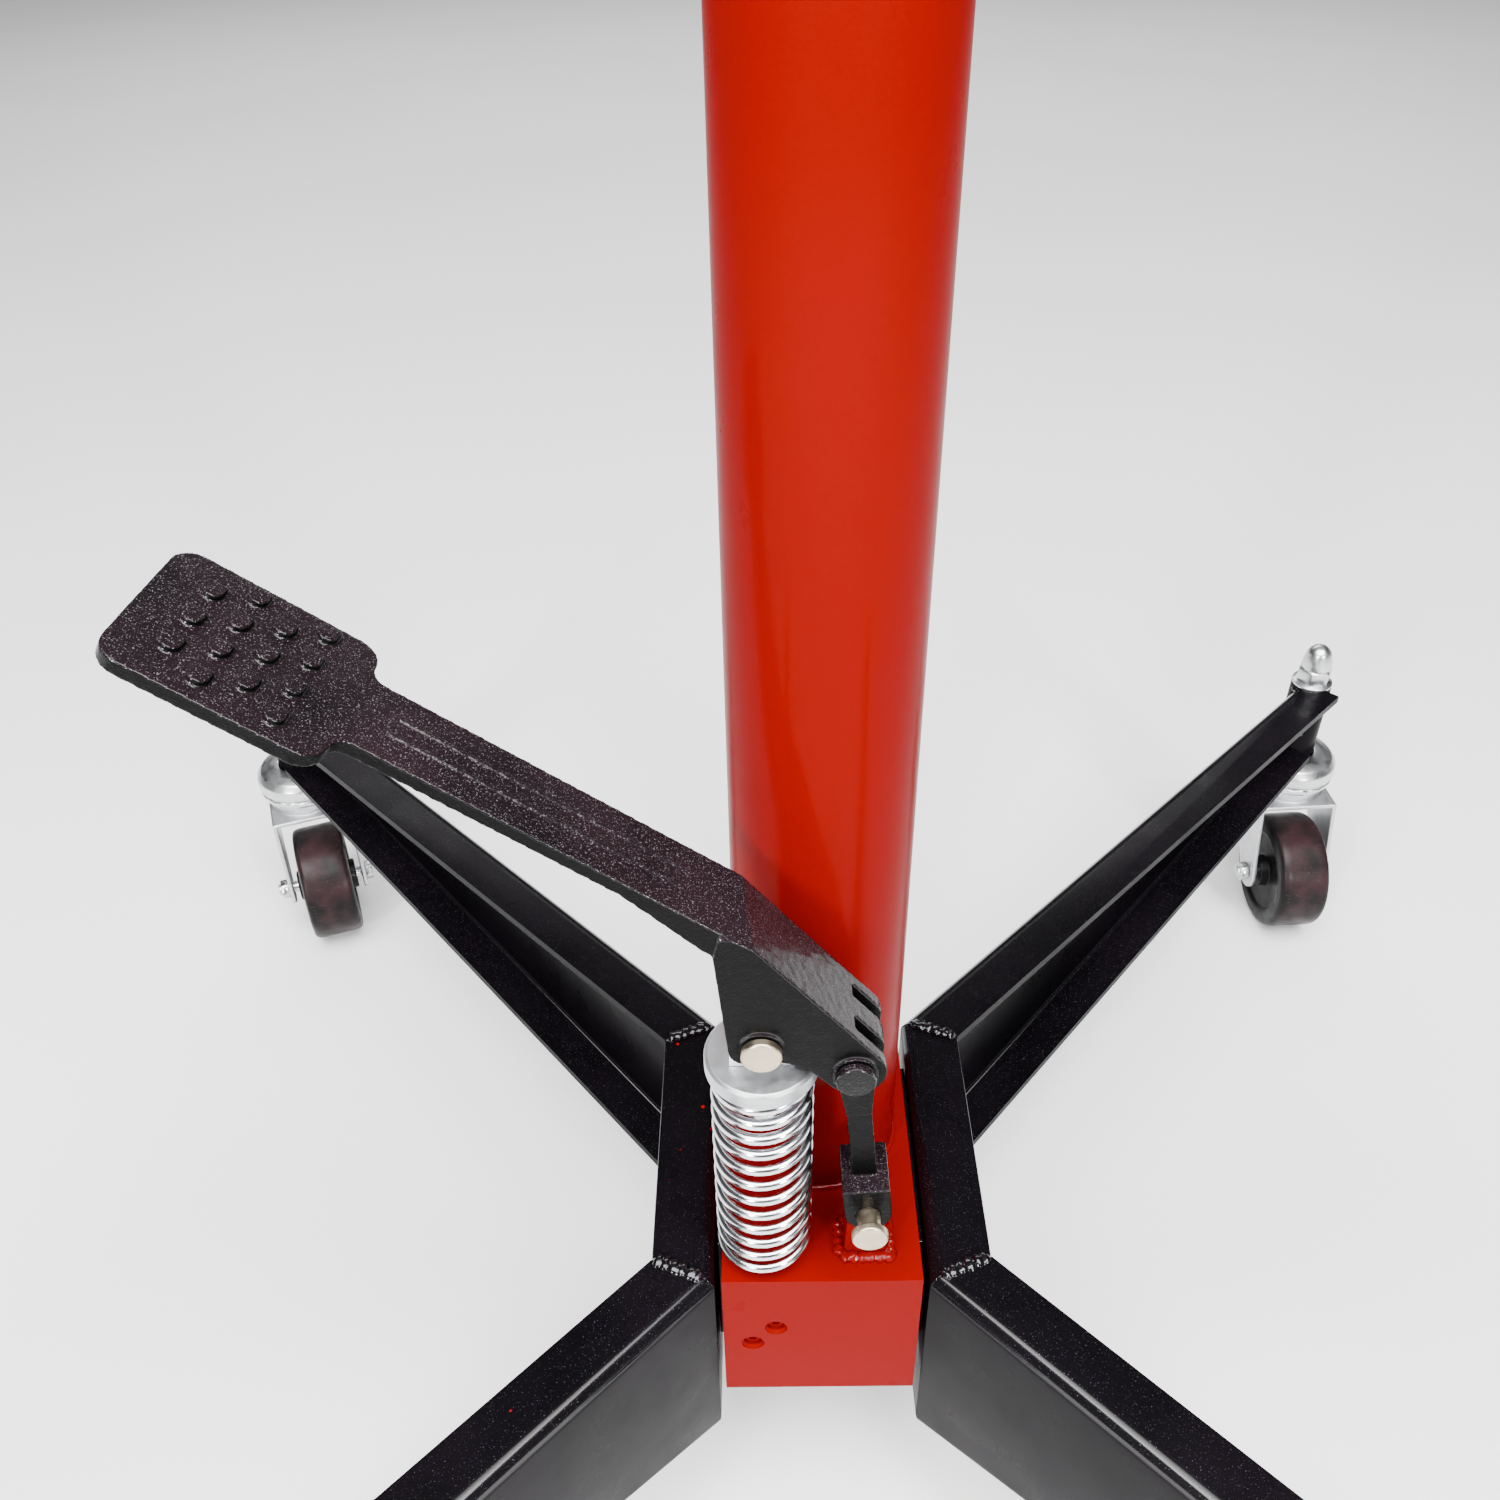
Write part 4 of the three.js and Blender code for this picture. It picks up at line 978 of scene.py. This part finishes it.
# Grey by height, from below the horizon at 0.45 to straight up: pale low down and dark above it.
ramp = tree.nodes.new("ShaderNodeValToRGB")
ramp.color_ramp.elements[0].position = 0.45
ramp.color_ramp.elements[0].color = (0.8, 0.8, 0.8, 1)
ramp.color_ramp.elements[1].position = 0.95
ramp.color_ramp.elements[1].color = (0.3, 0.3, 0.31, 1)
for position, value in ((0.52, 0.6), (0.6, 0.14), (0.85, 0.07)):
    element = ramp.color_ramp.elements.new(position)
    element.color = (value, value, value * 1.04, 1)
shift = tree.nodes.new("ShaderNodeMapRange")
shift.inputs["From Min"].default_value = -1
tree.links.new(coords.outputs["Generated"], split.inputs["Vector"])
tree.links.new(split.outputs["Z"], shift.inputs["Value"])
tree.links.new(shift.outputs["Result"], ramp.inputs["Fac"])
tree.links.new(ramp.outputs["Color"], tree.nodes["Background"].inputs["Color"])
tree.nodes["Background"].inputs["Strength"].default_value = 0.8


def area_light(name, location, target, size, power):
    """A rectangular light aimed at a target, in metres and watts."""
    light = bpy.data.lights.new(name, "AREA")
    light.shape = "RECTANGLE"
    light.size, light.size_y = size
    light.energy = power
    obj = bpy.data.objects.new(name, light)
    obj.location = location
    obj.rotation_euler = (Vector(target) - Vector(location)).to_track_quat("-Z", "Y").to_euler()
    bpy.context.scene.collection.objects.link(obj)


area_light("overhead", (0, -1.0, 3.2), target=(0, 0.1, 0.2), size=(3.6, 2.2), power=470)
area_light("left_strip", (-1.5, -2.5, 1.5), target=(0, -0.2, 0.2), size=(0.3, 0.6), power=100)
area_light("right_strip", (1.5, -2.5, 1.5), target=(0, -0.2, 0.2), size=(0.3, 0.6), power=85)
area_light("back", (0.0, 4.6, 3.2), target=(0, 2.0, 0), size=(4.0, 1.0), power=110)

# The camera as solved from the photo, with its right, up and forward directions.
camera_data = bpy.data.cameras.new("camera")
camera_data.lens = 32.98
camera_data.sensor_width = 36
camera = bpy.data.objects.new("camera", camera_data)
right = Vector((0.99987, -0.00116, -0.01576))
up = Vector((0.01323, 0.6068, 0.7948))
forward = Vector((-0.00865, 0.7949, -0.6067))
rotation = Matrix((right, up, -forward)).transposed().to_4x4()
camera.matrix_world = Matrix.Translation((-0.0280, -0.4914, 0.8823)) @ rotation
bpy.context.scene.collection.objects.link(camera)
bpy.context.scene.camera = camera
